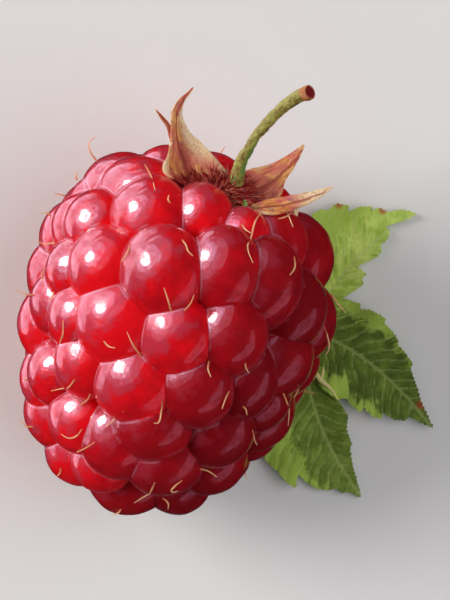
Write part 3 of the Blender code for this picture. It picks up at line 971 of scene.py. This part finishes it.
# %% Dry thread
STYLE_COLOURS = ((0.66, 0.20, 0.08), (0.90, 0.52, 0.28))


def thread_material(name, root, tip):
    """Dry, slightly clear plant thread, of one colour at its root and another at its tip."""
    dry = {"Specular_IOR_Level": 0.2, "Subsurface_Weight": 0.3, "Subsurface_Scale": 0.2 * MM}
    material, shader, tree = plain_material(name, tip, 0.45, **dry)
    patches, grain = add_mottle(tree, 900, 9000, 2.2)
    colour = mix(mask(value_of(tree, "along"), 0.0, 0.6), root, tip)
    darker = mix(mask(patches, 0.55, 1.0, 0.5), colour, root)
    feed(shader.inputs["Base Color"], darker)
    relief(shader, grain, 0.3, 0.02 * MM)
    return material


dress(styles, "berry", thread_material("dry_style", *STYLE_COLOURS), replaces=False)

# %% [markdown]
# ## The calyx
# Five pointed sepals stand on a small disc. Each is drawn as three lines, its left edge, its rib and its
# right edge, and the strips between them are bridged. A cloud texture crumples the strip, and Solidify makes
# it a leaf of dry felt that thins to its tip. The edges are paler felt and the inside blushes pink and brown.
# Round the base, in the hollow between the fruit and the sepals, shade is painted in dark red. Numbers are
# stored for that, such as `across`, from one edge to the other.

# %% The sepals' lines
# Each sepal is its left edge, its rib and its right edge, from base to tip, as (x, y, height in millimetres),
# how much it blushes, and where across and along it the felt turns to pale cream.
EVERYWHERE = (-3, -2)
SEPALS = {
    "needle": (
        ((192, 177, 13.2), (179, 158, 12.4), (171, 141, 12.0),
         (167, 127, 11.8), (160, 117, 11.5), (155, 109, 11.4)),
        ((200, 181, 12.8), (182, 157, 12.0), (173, 140, 11.8),
         (169, 127, 11.6), (161, 116, 11.4), (155, 109, 11.4)),
        ((207, 182, 12.4), (186, 156, 11.8), (176, 139, 11.7),
         (171, 126, 11.6), (162, 115, 11.4), (156, 109, 11.4)),
        0.5,
        (EVERYWHERE, (0.9, 1.3)),
    ),
    "tall": (
        ((174, 180, 16.8), (163, 171, 17.1), (169, 153, 16.2),
         (171, 128, 15.6), (174, 105, 15.2), (192, 88, 14.9)),
        ((200, 194, 16.4), (184, 170, 15.1), (178, 144, 14.3),
         (176, 120, 14.7), (180, 104, 15.0), (193, 87, 14.9)),
        ((236, 183, 15.0), (221, 164, 14.6), (202, 143, 14.3),
         (187, 128, 14.3), (182, 107, 14.7), (194, 88, 14.9)),
        0.6,
        ((0.30, 0.62), (0.22, 0.44)),
    ),
    "upper": (
        ((238, 176, 12.4), (250, 169, 12.0), (264, 166, 11.7),
         (279, 160, 11.5), (292, 152, 11.3), (303, 144, 11.2)),
        ((246, 196, 13.2), (258, 186, 12.5), (271, 178, 12.1),
         (283, 169, 11.8), (294, 158, 11.5), (304, 145, 11.2)),
        ((262, 212, 14.2), (274, 205, 13.9), (281, 195, 13.5),
         (285, 181, 13.0), (294, 167, 12.2), (305, 146, 11.2)),
        0.6,
        (EVERYWHERE, (0.85, 1.1)),
    ),
    "front": (
        ((236, 209, 15.6), (254, 204, 15.8), (272, 199, 15.8),
         (290, 196, 15.6), (312, 191, 15.4), (333, 186, 15.2)),
        ((242, 211, 16.2), (256, 209, 16.2), (274, 206, 16.1),
         (292, 202, 15.9), (312, 196, 15.6), (333, 187, 15.2)),
        ((248, 213, 16.9), (262, 214, 17.0), (278, 214, 17.0),
         (294, 209, 16.6), (314, 201, 16.0), (333, 188, 15.2)),
        0.8,
        (EVERYWHERE, (0.50, 0.72)),
    ),
    "small": (
        ((262, 200, 14.0), (280, 200, 14.2), (297, 203, 14.9),
         (298, 210, 14.8), (296, 219, 14.5), (294, 227, 14.2)),
        ((260, 205, 14.4), (277, 206, 14.6), (292, 206, 15.0),
         (294, 213, 14.9), (293, 220, 14.6), (293, 228, 14.2)),
        ((258, 210, 14.8), (274, 212, 15.1), (287, 210, 15.2),
         (290, 216, 15.0), (290, 222, 14.7), (293, 228, 14.2)),
        0.2,
        (EVERYWHERE, EVERYWHERE),
    ),
}
HOLLOW_PX = (211, 196)
HOLLOW_RADII_PX = (42, 23)
SEPAL_STEPS = 5
SEPAL_CUTS = 3
SEPAL_THICK = 0.22 * MM
TIP_THICKNESS = 0.3
THINNING_POWER = 3
CRUMPLE = 0.14 * MM
CRUMPLE_SIZE = 0.9 * MM

# %% Tools for the sepals
def bridge(thing, count, first, second):
    """Fills the strip between two of the lines that the object is made of, each of this many points."""

    def on_lines(edge):
        lines = {vertex // count for vertex in edge.vertices}
        return len(lines) == 1 and lines <= {first, second}

    edit(thing, "EDGE", on_lines)
    bpy.ops.mesh.bridge_edge_loops(number_cuts=SEPAL_CUTS, interpolation="LINEAR")
    bpy.ops.object.mode_set(mode="OBJECT")


# %% Numbers for the felt
def pixels_of(spots):
    """The pixels of the photograph that show these points. It undoes the function at."""
    reach = PX * (EYE_HEIGHT - spots[:, 2]) / (EYE_HEIGHT - BELLY_HEIGHT)
    return spots[:, 0] / reach + ORIGIN_PX[0], ORIGIN_PX[1] - spots[:, 1] / reach


def share_between(values, limits):
    """From 0 to 1 as the values go from the first limit to the last."""
    first, last = limits
    return np.clip((values - first) / (last - first), 0, 1)


def store_hollow(thing):
    """Stores how far each point is from the middle of the hollow where shade is painted dark: 1 is its edge.
    """
    x, y = pixels_of(spots_of(thing))
    far = np.hypot((x - HOLLOW_PX[0]) / HOLLOW_RADII_PX[0], (y - HOLLOW_PX[1]) / HOLLOW_RADII_PX[1])
    store(thing.data, "hollow", far)


# %% Model the sepals
def model_sepal(name):
    *edges, blush, (pale_across, pale_along) = SEPALS[name]
    lines = []
    for i, edge in enumerate(edges):
        lines.append(draw(f"{name}_{i}", [in_mm(p) for p in edge], [1] * len(edge), 0, SEPAL_STEPS))
    left, rib, right = (spots_of(line) for line in lines)
    sepal = joined("sepal_" + name, lines)
    bridge(sepal, len(rib), 0, 1)
    bridge(sepal, len(rib), 1, 2)
    spots = spots_of(sepal)
    along = shares_along(spots, rib)
    nearest = np.rint(along * (len(rib) - 1)).astype(int)
    to_left = np.linalg.norm(spots - left[nearest], axis=1)
    to_right = np.linalg.norm(spots - right[nearest], axis=1)
    across = (to_left - to_right) / np.maximum(to_left + to_right, HAIR)
    sepal.data.attributes.remove(sepal.data.attributes["along"])
    store(sepal.data, "along", along)
    store(sepal.data, "across", across)
    store(sepal.data, "pale", share_between(across, pale_across) * share_between(along, pale_along))
    store_even(sepal, blush=blush, nub=0)
    store_hollow(sepal)
    full = sepal.vertex_groups.new(name="full")
    for i, share in enumerate(along):
        full.add([i], float(1 - share**THINNING_POWER), "REPLACE")
    add_subdivision(sepal, 1, "SIMPLE")
    add_lumps(sepal, CRUMPLE_SIZE, CRUMPLE)
    wall = sepal.modifiers.new("wall", "SOLIDIFY")
    wall.thickness = SEPAL_THICK
    wall.offset = 0
    wall.vertex_group = full.name
    wall.thickness_vertex_group = TIP_THICKNESS
    add_subdivision(sepal, 1)
    apply_modifiers(sepal)
    return sepal


sepals = [model_sepal(name) for name in SEPALS]
print("sepals:", [len(sepal.data.polygons) for sepal in sepals])

# %% The disc
CALYX_RADIUS = 2.9 * MM
DISC_FLAT = 0.26
DISC_LUMPS = (0.5 * MM, 0.22 * MM)
DISC_SIDES = (40, 24)
NUB_RADIUS = 0.23 * MM
NUB_SHAPE = (1, 1.2, 1)
NUB_SIDES = (16, 10)
NUBS = ((234, 179, 15.5 * MM), (238, 174, 15.2 * MM), (245, 204, 16.6 * MM))
crown_axis = curve_point(BODY_LINE, 1.0)[1]


def lumpy_ball(name, radius, sides, rings, shape, place, turn, lump_size, lump_height):
    """A ball stretched to this shape, turned and set in its place, with lumps all over."""
    bpy.ops.mesh.primitive_uv_sphere_add(segments=sides, ring_count=rings, radius=radius)
    ball = bpy.context.object
    ball.name = name
    ball.scale = shape
    ball.rotation_euler = turn
    ball.location = place
    settle(ball)
    add_subdivision(ball, 1)
    add_lumps(ball, lump_size, lump_height)
    apply_modifiers(ball)
    return ball


def model_disc():
    """A low cushion that the sepals and the stem stand on."""
    turn = crown_axis.to_track_quat("Z", "Y").to_euler()
    place = at(*CALYX_CENTRE)
    disc = lumpy_ball("disc", CALYX_RADIUS, *DISC_SIDES, (1, 1, DISC_FLAT), place, turn, *DISC_LUMPS)
    store_even(disc, along=0, across=0, blush=1, pale=0, nub=0)
    store_hollow(disc)
    return disc


def model_nub(x, y, height):
    """A small green bud, the remains of a bract."""
    place = at(x, y, height)
    nub = lumpy_ball("nub", NUB_RADIUS, *NUB_SIDES, NUB_SHAPE, place, (0, 0, 0), NUB_RADIUS, NUB_RADIUS)
    store_even(nub, along=1, across=0, blush=0, pale=0, nub=1, hollow=2)
    return nub


disc = model_disc()
calyx = joined("sepals", [disc, *sepals, *(model_nub(*nub) for nub in NUBS)])
smooth(calyx, 50)
print("calyx:", len(calyx.data.polygons), "faces with its disc and nubs")

# %% [markdown]
# ## The dried stamens
# Where the fruit meets the calyx there is a ring of dried stamens, which are short curled threads. They stand
# about the disc, lean outwards over the fruit and up against the sepals, and fill the dark hollow between
# them. A ray from the eye finds the calyx under each one's root.

# %% The stamens
STAMENS = 380
STAMEN_RADIUS = 0.035 * MM
STAMEN_LENGTH = (0.35 * MM, 1.15 * MM)
STAMEN_RING = (0.25, 1.15)
STAMEN_RADII = (1.4, 1.1, 0.8, 0.4)
STAMEN_SWAY = (-0.6, 0.6)
STAMEN_RISE = (0.3, 1.0)
STAMEN_CURL = (-0.5, 0.6)
stamen_draws = random.Random(3)
cup = BVHTree.FromObject(calyx, bpy.context.evaluated_depsgraph_get())


def model_stamen(i):
    """A short curled thread that stands in the hollow and leans outwards, or none where there is no calyx."""
    turn = 2 * math.pi * (i + stamen_draws.random()) / STAMENS
    out = stamen_draws.uniform(*STAMEN_RING)
    x = HOLLOW_PX[0] + HOLLOW_RADII_PX[0] * out * math.cos(turn)
    y = HOLLOW_PX[1] - HOLLOW_RADII_PX[1] * out * math.sin(turn)
    root = cup.ray_cast(eye, (at(x, y, BELLY_HEIGHT) - eye).normalized())[0]
    if root is None:
        return None
    radial = Vector((math.cos(turn), math.sin(turn), 0))
    sideways = Vector((-radial.y, radial.x, 0)) * stamen_draws.uniform(*STAMEN_SWAY)
    length = stamen_draws.uniform(*STAMEN_LENGTH)
    start = (Vector((0, 0, stamen_draws.uniform(*STAMEN_RISE))) + radial * out + sideways).normalized()
    later = (Vector((0, 0, stamen_draws.uniform(*STAMEN_CURL))) + radial * 0.9 - sideways).normalized()
    knee = root + start * length * 0.5
    tip = knee + later * length * 0.5
    points = (root - start * STAMEN_RADIUS, root.lerp(knee, 0.6), knee.lerp(tip, 0.6), tip)
    return draw(f"stamen_{i}", points, STAMEN_RADII, STAMEN_RADIUS, steps=3)


stamen_threads = [thread for thread in (model_stamen(i) for i in range(STAMENS)) if thread]
stamens = joined("stamens", stamen_threads)
only(stamens)
bpy.ops.object.shade_smooth()
print(len(stamen_threads), "stamens")

# %% Felt
FELT_BROWNS = ((0.46, 0.12, 0.035), (0.70, 0.27, 0.08), (0.88, 0.50, 0.21))
FELT_CREAMS = ((0.62, 0.36, 0.16), (0.86, 0.64, 0.38), (0.92, 0.74, 0.48))
FELT_BLUSH = (0.60, 0.11, 0.13)
FELT_FLECKS = (0.16, 0.05, 0.10)
FELT_RIB = (0.32, 0.035, 0.025)
FELT_RIM = (0.88, 0.66, 0.40)
# Painted shade for the hollow round the disc.
PAINTED_HOLLOW_SHADE = (0.24, 0.008, 0.010)
STAMEN_COLOURS = ((0.17, 0.006, 0.008), (0.36, 0.07, 0.035))
NUB_GREENS = ((0.10, 0.16, 0.03), (0.36, 0.46, 0.14))


def felt_material():
    material, shader, tree = plain_material("sepal_felt", FELT_BROWNS[1], 0.9, Specular_IOR_Level=0.08)
    _patches, grain = add_mottle(tree, 1300, 6000, 3.0)
    broad, _grain = add_mottle(tree, 520, 2600, 3.0)
    fine, _grain = add_mottle(tree, 1900, 6000, 3.0)
    along, across, blush, hollow = (value_of(tree, name) for name in ("along", "across", "blush", "hollow"))
    strands = fibres(along, across, blush, 5.0, 7.0)
    brown = ramp(strands, *zip((0.1, 0.5, 0.9), FELT_BROWNS))
    rosy = math_of("MULTIPLY", blush, mask(broad, 0.40, 0.62))
    pink = mix(rosy, brown, FELT_BLUSH)
    flecks = mask(fine, 0.72, 0.82, 0.55)
    pink = mix(math_of("MULTIPLY", blush, flecks), pink, FELT_FLECKS)
    cream = ramp(grain, *zip((0.1, 0.4, 0.9), FELT_CREAMS))
    felt = mix(value_of(tree, "pale"), pink, cream)
    from_rib = math_of("ABSOLUTE", across)
    ribbed = mix(mask(from_rib, 0.20, 0.04, 0.8), felt, FELT_RIB)
    rim = mix(mask(from_rib, 0.74, 0.92, 0.9), ribbed, FELT_RIM)
    # Painted shade: the hollow between the fruit and the sepals, with the disc in it, is painted dark red,
    # with a ragged edge along the strands.
    ragged = math_of("MULTIPLY_ADD", strands, 0.45, hollow)
    base = mix(mask(ragged, 1.40, 1.20), rim, PAINTED_HOLLOW_SHADE)
    green = ramp(grain, *zip((0.2, 0.6), NUB_GREENS))
    feed(shader.inputs["Base Color"], mix(value_of(tree, "nub"), base, green))
    relief(shader, grain, 0.6, 0.06 * MM)
    return material


dress(calyx, "calyx", felt_material())
dress(stamens, "calyx", thread_material("dry_stamen", *STAMEN_COLOURS), replaces=False)

# %% [markdown]
# ## The stem
# The stem is a thread like the others, but thick: it swells where it meets the calyx and again at its cut
# end. The end is inset and sunk, so that the pale bark stands as a rim round the dark core.

# %% The stem
STEM_LINE = (
    (236, 183, 14.8),
    (239, 168, 15.4),
    (250, 146, 16.1),
    (269, 121, 16.5),
    (290, 102, 16.4),
    (302, 95, 16.5),
    (310, 92, 17.0),
)
STEM_RADII_PX = (7.8, 6.2, 5.4, 5.4, 6.0, 7.2, 7.6)
STEM_LUMPS = 0.26 * MM
SIDE_SLANT = 0.7
END_FACING = 0.95
RIM = 0.09 * MM
SINK = 0.04 * MM


def stem_sides(spots):
    """How far each point is from the stem's middle line as the camera sees it, towards the lower right."""
    x, y = pixels_of(spots)
    path = np.array([place[:2] for place in STEM_LINE])
    spans = np.concatenate(([0], np.cumsum(np.linalg.norm(np.diff(path, axis=0), axis=1))))
    reach = shares_along(np.stack((x, y), axis=1), path) * spans[-1]
    line_x, line_y = (np.interp(reach, spans, path[:, k]) for k in (0, 1))
    return ((x - line_x) * SIDE_SLANT + (y - line_y) * SIDE_SLANT) / STEM_RADII_PX[2]


def model_stem():
    line = [in_mm(place) for place in STEM_LINE]
    stem = draw("stem_bark", line, [r * PX / MM for r in STEM_RADII_PX], MM, steps=9, sides=6)
    outward = (line[-1] - line[-2]).normalized()

    def at_cut_end(face):
        return face.normal.dot(outward) > END_FACING and (face.center - line[-1]).length < MM

    edit(stem, "FACE", at_cut_end)
    bpy.ops.mesh.inset(thickness=RIM)
    bpy.ops.mesh.inset(thickness=RIM / 3)
    bpy.ops.transform.translate(value=-outward * SINK)
    bpy.ops.object.mode_set(mode="OBJECT")
    core = np.zeros(len(stem.data.vertices))
    for face in stem.data.polygons:
        if face.select:
            core[list(face.vertices)] = 1
    print("cut end:", int(core.sum()), "points")
    store(stem.data, "core", core)
    store(stem.data, "side", stem_sides(spots_of(stem)))
    add_subdivision(stem, 1)
    add_lumps(stem, 0.7 * MM, STEM_LUMPS)
    apply_modifiers(stem)
    smooth(stem, 50)
    return stem


stem = model_stem()

# %% Bark
OLIVES = ((0.11, 0.085, 0.015), (0.27, 0.25, 0.045), (0.42, 0.42, 0.10))
RUST = (0.22, 0.045, 0.02)
PAINTED_HIGHLIGHT_BARK = (0.50, 0.44, 0.15)
# Painted highlight for the stem's upper left side.
GREEN_BARK = (0.13, 0.26, 0.045)
KNOB_BROWN = (0.50, 0.17, 0.07)
CORE_RED = (0.19, 0.006, 0.008)


def bark_material():
    material, shader, tree = plain_material("stem_skin", OLIVES[1], 0.6, Specular_IOR_Level=0.15)
    _patches, grain = add_mottle(tree, 1500, 7000, 2.6)
    broad, _grain = add_mottle(tree, 620, 3000, 3.2)
    along, side = value_of(tree, "along"), value_of(tree, "side")
    strands = fibres(along, side, along, 7.0, 1.6)
    olive = ramp(strands, *zip((0.1, 0.5, 0.9), OLIVES))
    streaks = fibres(along, side, broad, 4.0, 1.1)
    rust = math_of("MULTIPLY_ADD", side, 0.15, streaks)
    brown = mix(mask(rust, 0.60, 0.78, 0.85), olive, RUST)
    # Painted highlight: the bark is paler along its upper left side, which faces the lights.
    lit = mix(mask(side, -0.45, -0.95, 0.5), brown, PAINTED_HIGHLIGHT_BARK)
    low = math_of("MULTIPLY", mask(along, 0.05, 0.12), mask(along, 0.42, 0.34))
    green = mix(math_of("MULTIPLY", low, mask(side, 0.1, 0.5, 0.9)), lit, GREEN_BARK)
    knob = mix(mask(along, 0.90, 0.96, 0.85), green, KNOB_BROWN)
    cut = mix(mask(value_of(tree, "core"), 0.0, 0.35), knob, CORE_RED)
    feed(shader.inputs["Base Color"], cut)
    relief(shader, grain, 0.6, 0.06 * MM)
    return material


dress(stem, "stem", bark_material())

# %% [markdown]
# ## The leaf
# Three toothed leaflets share a stalk that runs under the fruit. Their large teeth follow the photograph, and
# fine ones are set between them by a rule. Each leaflet is cut from a fine sheet: a prism with its outline
# meets a thin slab of small squares in a Boolean, which keeps the squares and gives a crisp toothed edge.
# Then every point is lifted to its place: the blade is dished and waved, as in the solid, and sinks along its
# veins.

# %% The leaflets
# Each is three points that bend its rib, its lowest height in millimetres, and its outline, all in pixels.
LEAFLETS = {
    "upper": (
        ((322, 306), (352, 248), (415, 214)),
        0.42,
        (
            ((318, 304), (298, 288), (290, 262), (296, 240), (305, 226), (313, 214), (322, 209), (326, 212)),
            ((337, 204), (349, 206), (348, 213), (360, 207), (372, 207), (370, 212), (380, 208), (388, 213)),
            ((403, 210), (417, 214), (403, 221), (385, 226), (390, 232), (387, 239), (379, 246), (382, 250)),
            ((376, 257), (362, 264), (356, 267), (367, 275), (362, 277), (363, 285), (355, 290), (343, 298)),
            ((330, 306),),
        ),
    ),
    "middle": (
        ((310, 330), (375, 352), (432, 427)),
        0.62,
        (
            ((308, 322), (318, 306), (330, 300), (346, 299), (361, 305), (359, 309), (372, 311), (386, 319)),
            ((383, 322), (392, 331), (399, 342), (396, 343), (406, 354), (413, 364), (410, 367), (413, 377)),
            ((417, 388), (421, 402), (433, 428), (419, 421), (408, 416), (406, 420), (394, 419), (382, 411)),
            ((382, 418), (373, 416), (363, 406), (361, 412), (351, 404), (346, 397), (338, 400), (322, 388)),
            ((310, 366), (306, 342)),
        ),
    ),
    "lower": (
        ((306, 362), (312, 430), (361, 495)),
        0.34,
        (
            ((314, 366), (330, 388), (342, 406), (348, 417), (346, 430), (351, 442), (350, 452), (353, 467)),
            ((361, 497), (349, 492), (341, 492), (335, 487), (330, 490), (316, 488), (307, 482), (298, 473)),
            ((295, 488), (285, 480), (277, 470), (268, 462), (261, 450), (257, 436), (259, 412), (270, 388)),
            ((288, 370), (300, 362)),
        ),
    ),
}

# %% The fine teeth
FINE_TOOTH_PX = 4.6
FINE_TOOTH_HIGH_PX = 1.5
TOOTH_HEIGHTS = (0.3, 1.3)
TOOTH_LEANS = (0.8, 0.2)


def flat(x, y, z):
    """A pixel on a flat drawing board, whose unit is one pixel's size."""
    return Vector((x - ORIGIN_PX[0], ORIGIN_PX[1] - y, z)) * PX


def serrated(outline):
    """The outline with fine uneven teeth between its large ones, which all lean towards the leaflet's tip."""
    chance = random.Random(7)
    outline = [Vector(place) for place in outline]
    middle = sum(outline, Vector((0, 0))) / len(outline)
    tip = max(outline, key=lambda place: (place - middle).length)
    pairs = list(zip(outline, outline[1:] + outline[:1]))
    turn = math.copysign(1, sum(a.cross(b) for a, b in pairs))
    fine = []
    for start, end in pairs:
        count = max(1, round((end - start).length / FINE_TOOTH_PX))
        out = Vector((end.y - start.y, start.x - end.x)).normalized() * turn * FINE_TOOTH_HIGH_PX
        lean = TOOTH_LEANS[0] if (end - tip).length < (start - tip).length else TOOTH_LEANS[1]
        for k in range(count):
            fine.append(start.lerp(end, k / count))
            fine.append(start.lerp(end, (k + lean) / count) + out * chance.uniform(*TOOTH_HEIGHTS))
    return fine


outlines = {}
for name, (_rib, _lowest, rows) in LEAFLETS.items():
    outlines[name] = serrated([place for row in rows for place in row])
print("teeth:", [len(outline) // 2 for outline in outlines.values()])

# %% Cut each leaflet from a sheet
BLADE_THICK = 0.26 * MM
SQUARE_PX = 2.0
PRISM_BELOW_PX = 2
PRISM_HIGH_PX = 8


def cut_sheet(name):
    """A fine flat slab, cut along the leaflet's outline on the drawing board."""
    outline = outlines[name]
    xs, ys = zip(*outline)
    wide, high = max(xs) - min(xs), max(ys) - min(ys)
    bpy.ops.mesh.primitive_grid_add(
        x_subdivisions=round(wide / SQUARE_PX) + 2,
        y_subdivisions=round(high / SQUARE_PX) + 2,
        size=1,
        location=flat(min(xs) + wide / 2, min(ys) + high / 2, 0),
    )
    sheet = bpy.context.object
    sheet.name = "leaflet_" + name
    sheet.scale = ((wide + 2 * SQUARE_PX) * PX, (high + 2 * SQUARE_PX) * PX, 1)
    settle(sheet)
    slab = sheet.modifiers.new("thickness", "SOLIDIFY")
    slab.thickness = BLADE_THICK
    slab.offset = 0
    apply_modifiers(sheet)
    mesh = bpy.data.meshes.new("outline_" + name)
    mesh.from_pydata([flat(x, y, -PRISM_BELOW_PX) for x, y in outline], [], [range(len(outline))])
    prism = bpy.data.objects.new("outline_" + name, mesh)
    bpy.context.scene.collection.objects.link(prism)
    edit(prism)
    bpy.ops.mesh.extrude_region_move(TRANSFORM_OT_translate={"value": (0, 0, PRISM_HIGH_PX * PX)})
    bpy.ops.mesh.select_all(action="SELECT")
    bpy.ops.mesh.normals_make_consistent(inside=False)
    bpy.ops.object.mode_set(mode="OBJECT")
    cut = sheet.modifiers.new("outline", "BOOLEAN")
    cut.operation = "INTERSECT"
    cut.solver = "MANIFOLD"
    cut.object = prism
    apply_modifiers(sheet)
    bpy.data.objects.remove(prism, do_unlink=True)
    return sheet


sheets = {name: cut_sheet(name) for name in LEAFLETS}
print("sheets:", [len(sheet.data.polygons) for sheet in sheets.values()])

# %% Lift the blades and draw their veins
# The side veins leave the rib at a slant, so the gap between two of them, measured square to them, is less
# than their gap along the rib.
RIB_SAMPLES = 120
DISH_HIGH = 0.55 * MM
DISH_WIDTH = 45 * PX
DISH_POWER = 1.5
WAVE_HIGH = 0.22 * MM
WAVE_LENGTH = 42 * PX
VEIN_GAP_PX = 13
VEIN_LEAN = 0.85
VEIN_SQUARE = 0.76
VEIN_WIDTH_PX = 1.3
RIB_WIDTH_PX = 2.0
SIDE_VEIN = 0.75
VEIN_DRIFT = 0.55
VEIN_DRIFT_PX = 26
VEIN_DEPTH = 0.11 * MM
RED_TEETH = ((339, 204), (383, 210), (421, 405))
RED_TOOTH_PX = 5
# How lit each leaflet is painted: the upper one in light, the middle and lower ones darker, partly by their
# own tone and partly by the fruit's painted shadow.
PAINTED_LEAFLET_LIGHT = {"upper": 1.0, "middle": 0.0, "lower": 0.14}
BLADE_NUMBERS = ("vein", "outer", "away", "phase", "red")


def bell(distance, width):
    """One at no distance, and fading to nothing over about this width."""
    return math.exp(-((distance / width) ** 2))


def lay_blade(name, sheet):
    """Lifts each point from the drawing board to its place, and stores how near a vein and the rib it is."""
    line, lowest, _rows = LEAFLETS[name]
    rib = np.array([curve_point(line, i / RIB_SAMPLES)[0] for i in range(RIB_SAMPLES + 1)])
    reach = np.concatenate(([0], np.cumsum(np.linalg.norm(np.diff(rib, axis=0), axis=1))))
    chord = np.linalg.norm(rib[0] - rib[-1])
    numbers = []
    for vertex in sheet.data.vertices:
        spot = np.array((vertex.co.x / PX + ORIGIN_PX[0], ORIGIN_PX[1] - vertex.co.y / PX))
        far = np.linalg.norm(rib - spot, axis=1)
        i = int(np.argmin(far))
        away = far[i]
        ahead = rib[min(i + 1, RIB_SAMPLES)] - rib[max(i - 1, 0)]
        side = math.copysign(1, ahead[0] * (spot[1] - rib[i][1]) - ahead[1] * (spot[0] - rib[i][0]))
        drift = noise.noise(Vector((*spot, 0)) / VEIN_DRIFT_PX) * VEIN_DRIFT
        phase = (reach[i] - VEIN_LEAN * away + VEIN_GAP_PX * side / 4) / VEIN_GAP_PX + drift
        to_side_vein = abs(phase - round(phase)) * VEIN_GAP_PX * VEIN_SQUARE
        vein = max(bell(away, RIB_WIDTH_PX), bell(to_side_vein, VEIN_WIDTH_PX) * SIDE_VEIN)
        outer = min(1, away * PX / DISH_WIDTH)
        along = i / RIB_SAMPLES * chord * PX
        wave = WAVE_HIGH * outer * math.sin(2 * math.pi * along / WAVE_LENGTH)
        height = lowest * MM + DISH_HIGH * outer**DISH_POWER + wave - VEIN_DEPTH * vein
        vertex.co = at(*spot, height + vertex.co.z)
        redness = max(bell(math.dist(spot, tooth), RED_TOOTH_PX) for tooth in RED_TEETH)
        numbers.append((vein, outer, away / VEIN_GAP_PX, phase, redness))
    for number, values in zip(BLADE_NUMBERS, zip(*numbers)):
        store(sheet.data, number, values)
    store_even(sheet, light=PAINTED_LEAFLET_LIGHT[name], dry=0)


for name, sheet in sheets.items():
    lay_blade(name, sheet)
print("highest:", [max(v.co.z for v in sheet.data.vertices) for sheet in sheets.values()])

# %% The leaf's stalk
STALK = ((268, 262, 0.75), (276, 312, 0.75), (304, 344, 0.75))
SPRIG = ((306, 356, 1.2), (314, 369, 1.5), (320, 379, 1.5), (331, 389, 1.4), (338, 400, 1.2))
SPUR = ((321, 379, 1.5), (323, 373, 1.55), (324, 367, 1.5))
STALK_RADIUS = 0.42 * MM
SPRIG_RADIUS = 0.12 * MM
SPUR_RADIUS = 0.11 * MM


def stalk_pieces():
    parts = [
        draw("stalk", [in_mm(p) for p in STALK], (1, 1, 1), STALK_RADIUS, steps=10, sides=3),
        draw("sprig", [in_mm(p) for p in SPRIG], (1, 1.1, 1.6, 1, 0.5), SPRIG_RADIUS, steps=6, sides=2),
        draw("spur", [in_mm(p) for p in SPUR], (1.3, 0.9, 0.4), SPUR_RADIUS, steps=6, sides=2),
    ]
    for part in parts:
        store_even(part, vein=1, outer=0, away=0, phase=0, red=0, light=0.6, dry=1)
    return parts


leaf = joined("leaflets", [*sheets.values(), *stalk_pieces()])
smooth(leaf, 40)
print("leaf:", len(leaf.data.polygons), "faces with its stalk")

# %% The leaf's material
# Greens of the middle and lower leaflets, darker partly by their own tone and partly by painted shadow, and
# of the upper leaflet, painted in light.
DARK_GREENS = ((0.085, 0.135, 0.018), (0.16, 0.25, 0.032))
PALE_GREENS = ((0.34, 0.52, 0.06), (0.62, 0.78, 0.17))
# Painted light for the raised margins.
PAINTED_LIT_MARGIN_GREEN = (0.36, 0.52, 0.075)
VEIN_GREEN = (0.50, 0.62, 0.20)
TOOTH_RED = (0.42, 0.07, 0.03)
STRAW = (0.74, 0.62, 0.28)


def leaf_material():
    material, shader, tree = plain_material(
        "leaf_skin",
        PALE_GREENS[0],
        0.55,
        Specular_IOR_Level=0.15,
        Subsurface_Weight=0.15,
        Subsurface_Radius=(0.4, 1.0, 0.1),
        Subsurface_Scale=0.3 * MM,
    )
    broad, grain = add_mottle(tree, 900, 4500, 2.6)
    light, away, phase = (value_of(tree, name) for name in ("light", "away", "phase"))
    strands = fibres(away, phase, light, 0.9, 3.0)
    patches = math_of("MULTIPLY_ADD", strands, 0.45, math_of("MULTIPLY", broad, 0.55))
    dark = ramp(patches, *zip((0.35, 0.80), DARK_GREENS))
    pale = ramp(patches, *zip((0.25, 0.75), PALE_GREENS))
    # Painted light and shadow: each leaflet is mixed between the darker and the paler greens by how lit it is
    # painted.
    blade = mix(light, dark, pale)
    # Painted light: the raised margins are painted a lighter green, as if lit.
    edge = math_of("MULTIPLY_ADD", patches, 0.8, value_of(tree, "outer"))
    lit_margin = mix(mask(edge, 0.98, 1.18, 0.85), blade, PAINTED_LIT_MARGIN_GREEN)
    veined = mix(mask(value_of(tree, "vein"), 0.3, 1.0, 0.5), lit_margin, VEIN_GREEN)
    reddened = mix(mask(value_of(tree, "red"), 0.2, 0.8, 0.8), veined, TOOTH_RED)
    straw = mix(mask(value_of(tree, "dry"), 0.0, 1.0, 0.8), reddened, STRAW)
    feed(shader.inputs["Base Color"], straw)
    relief(shader, grain, 0.5, 0.05 * MM)
    return material


dress(leaf, "leaf", leaf_material())
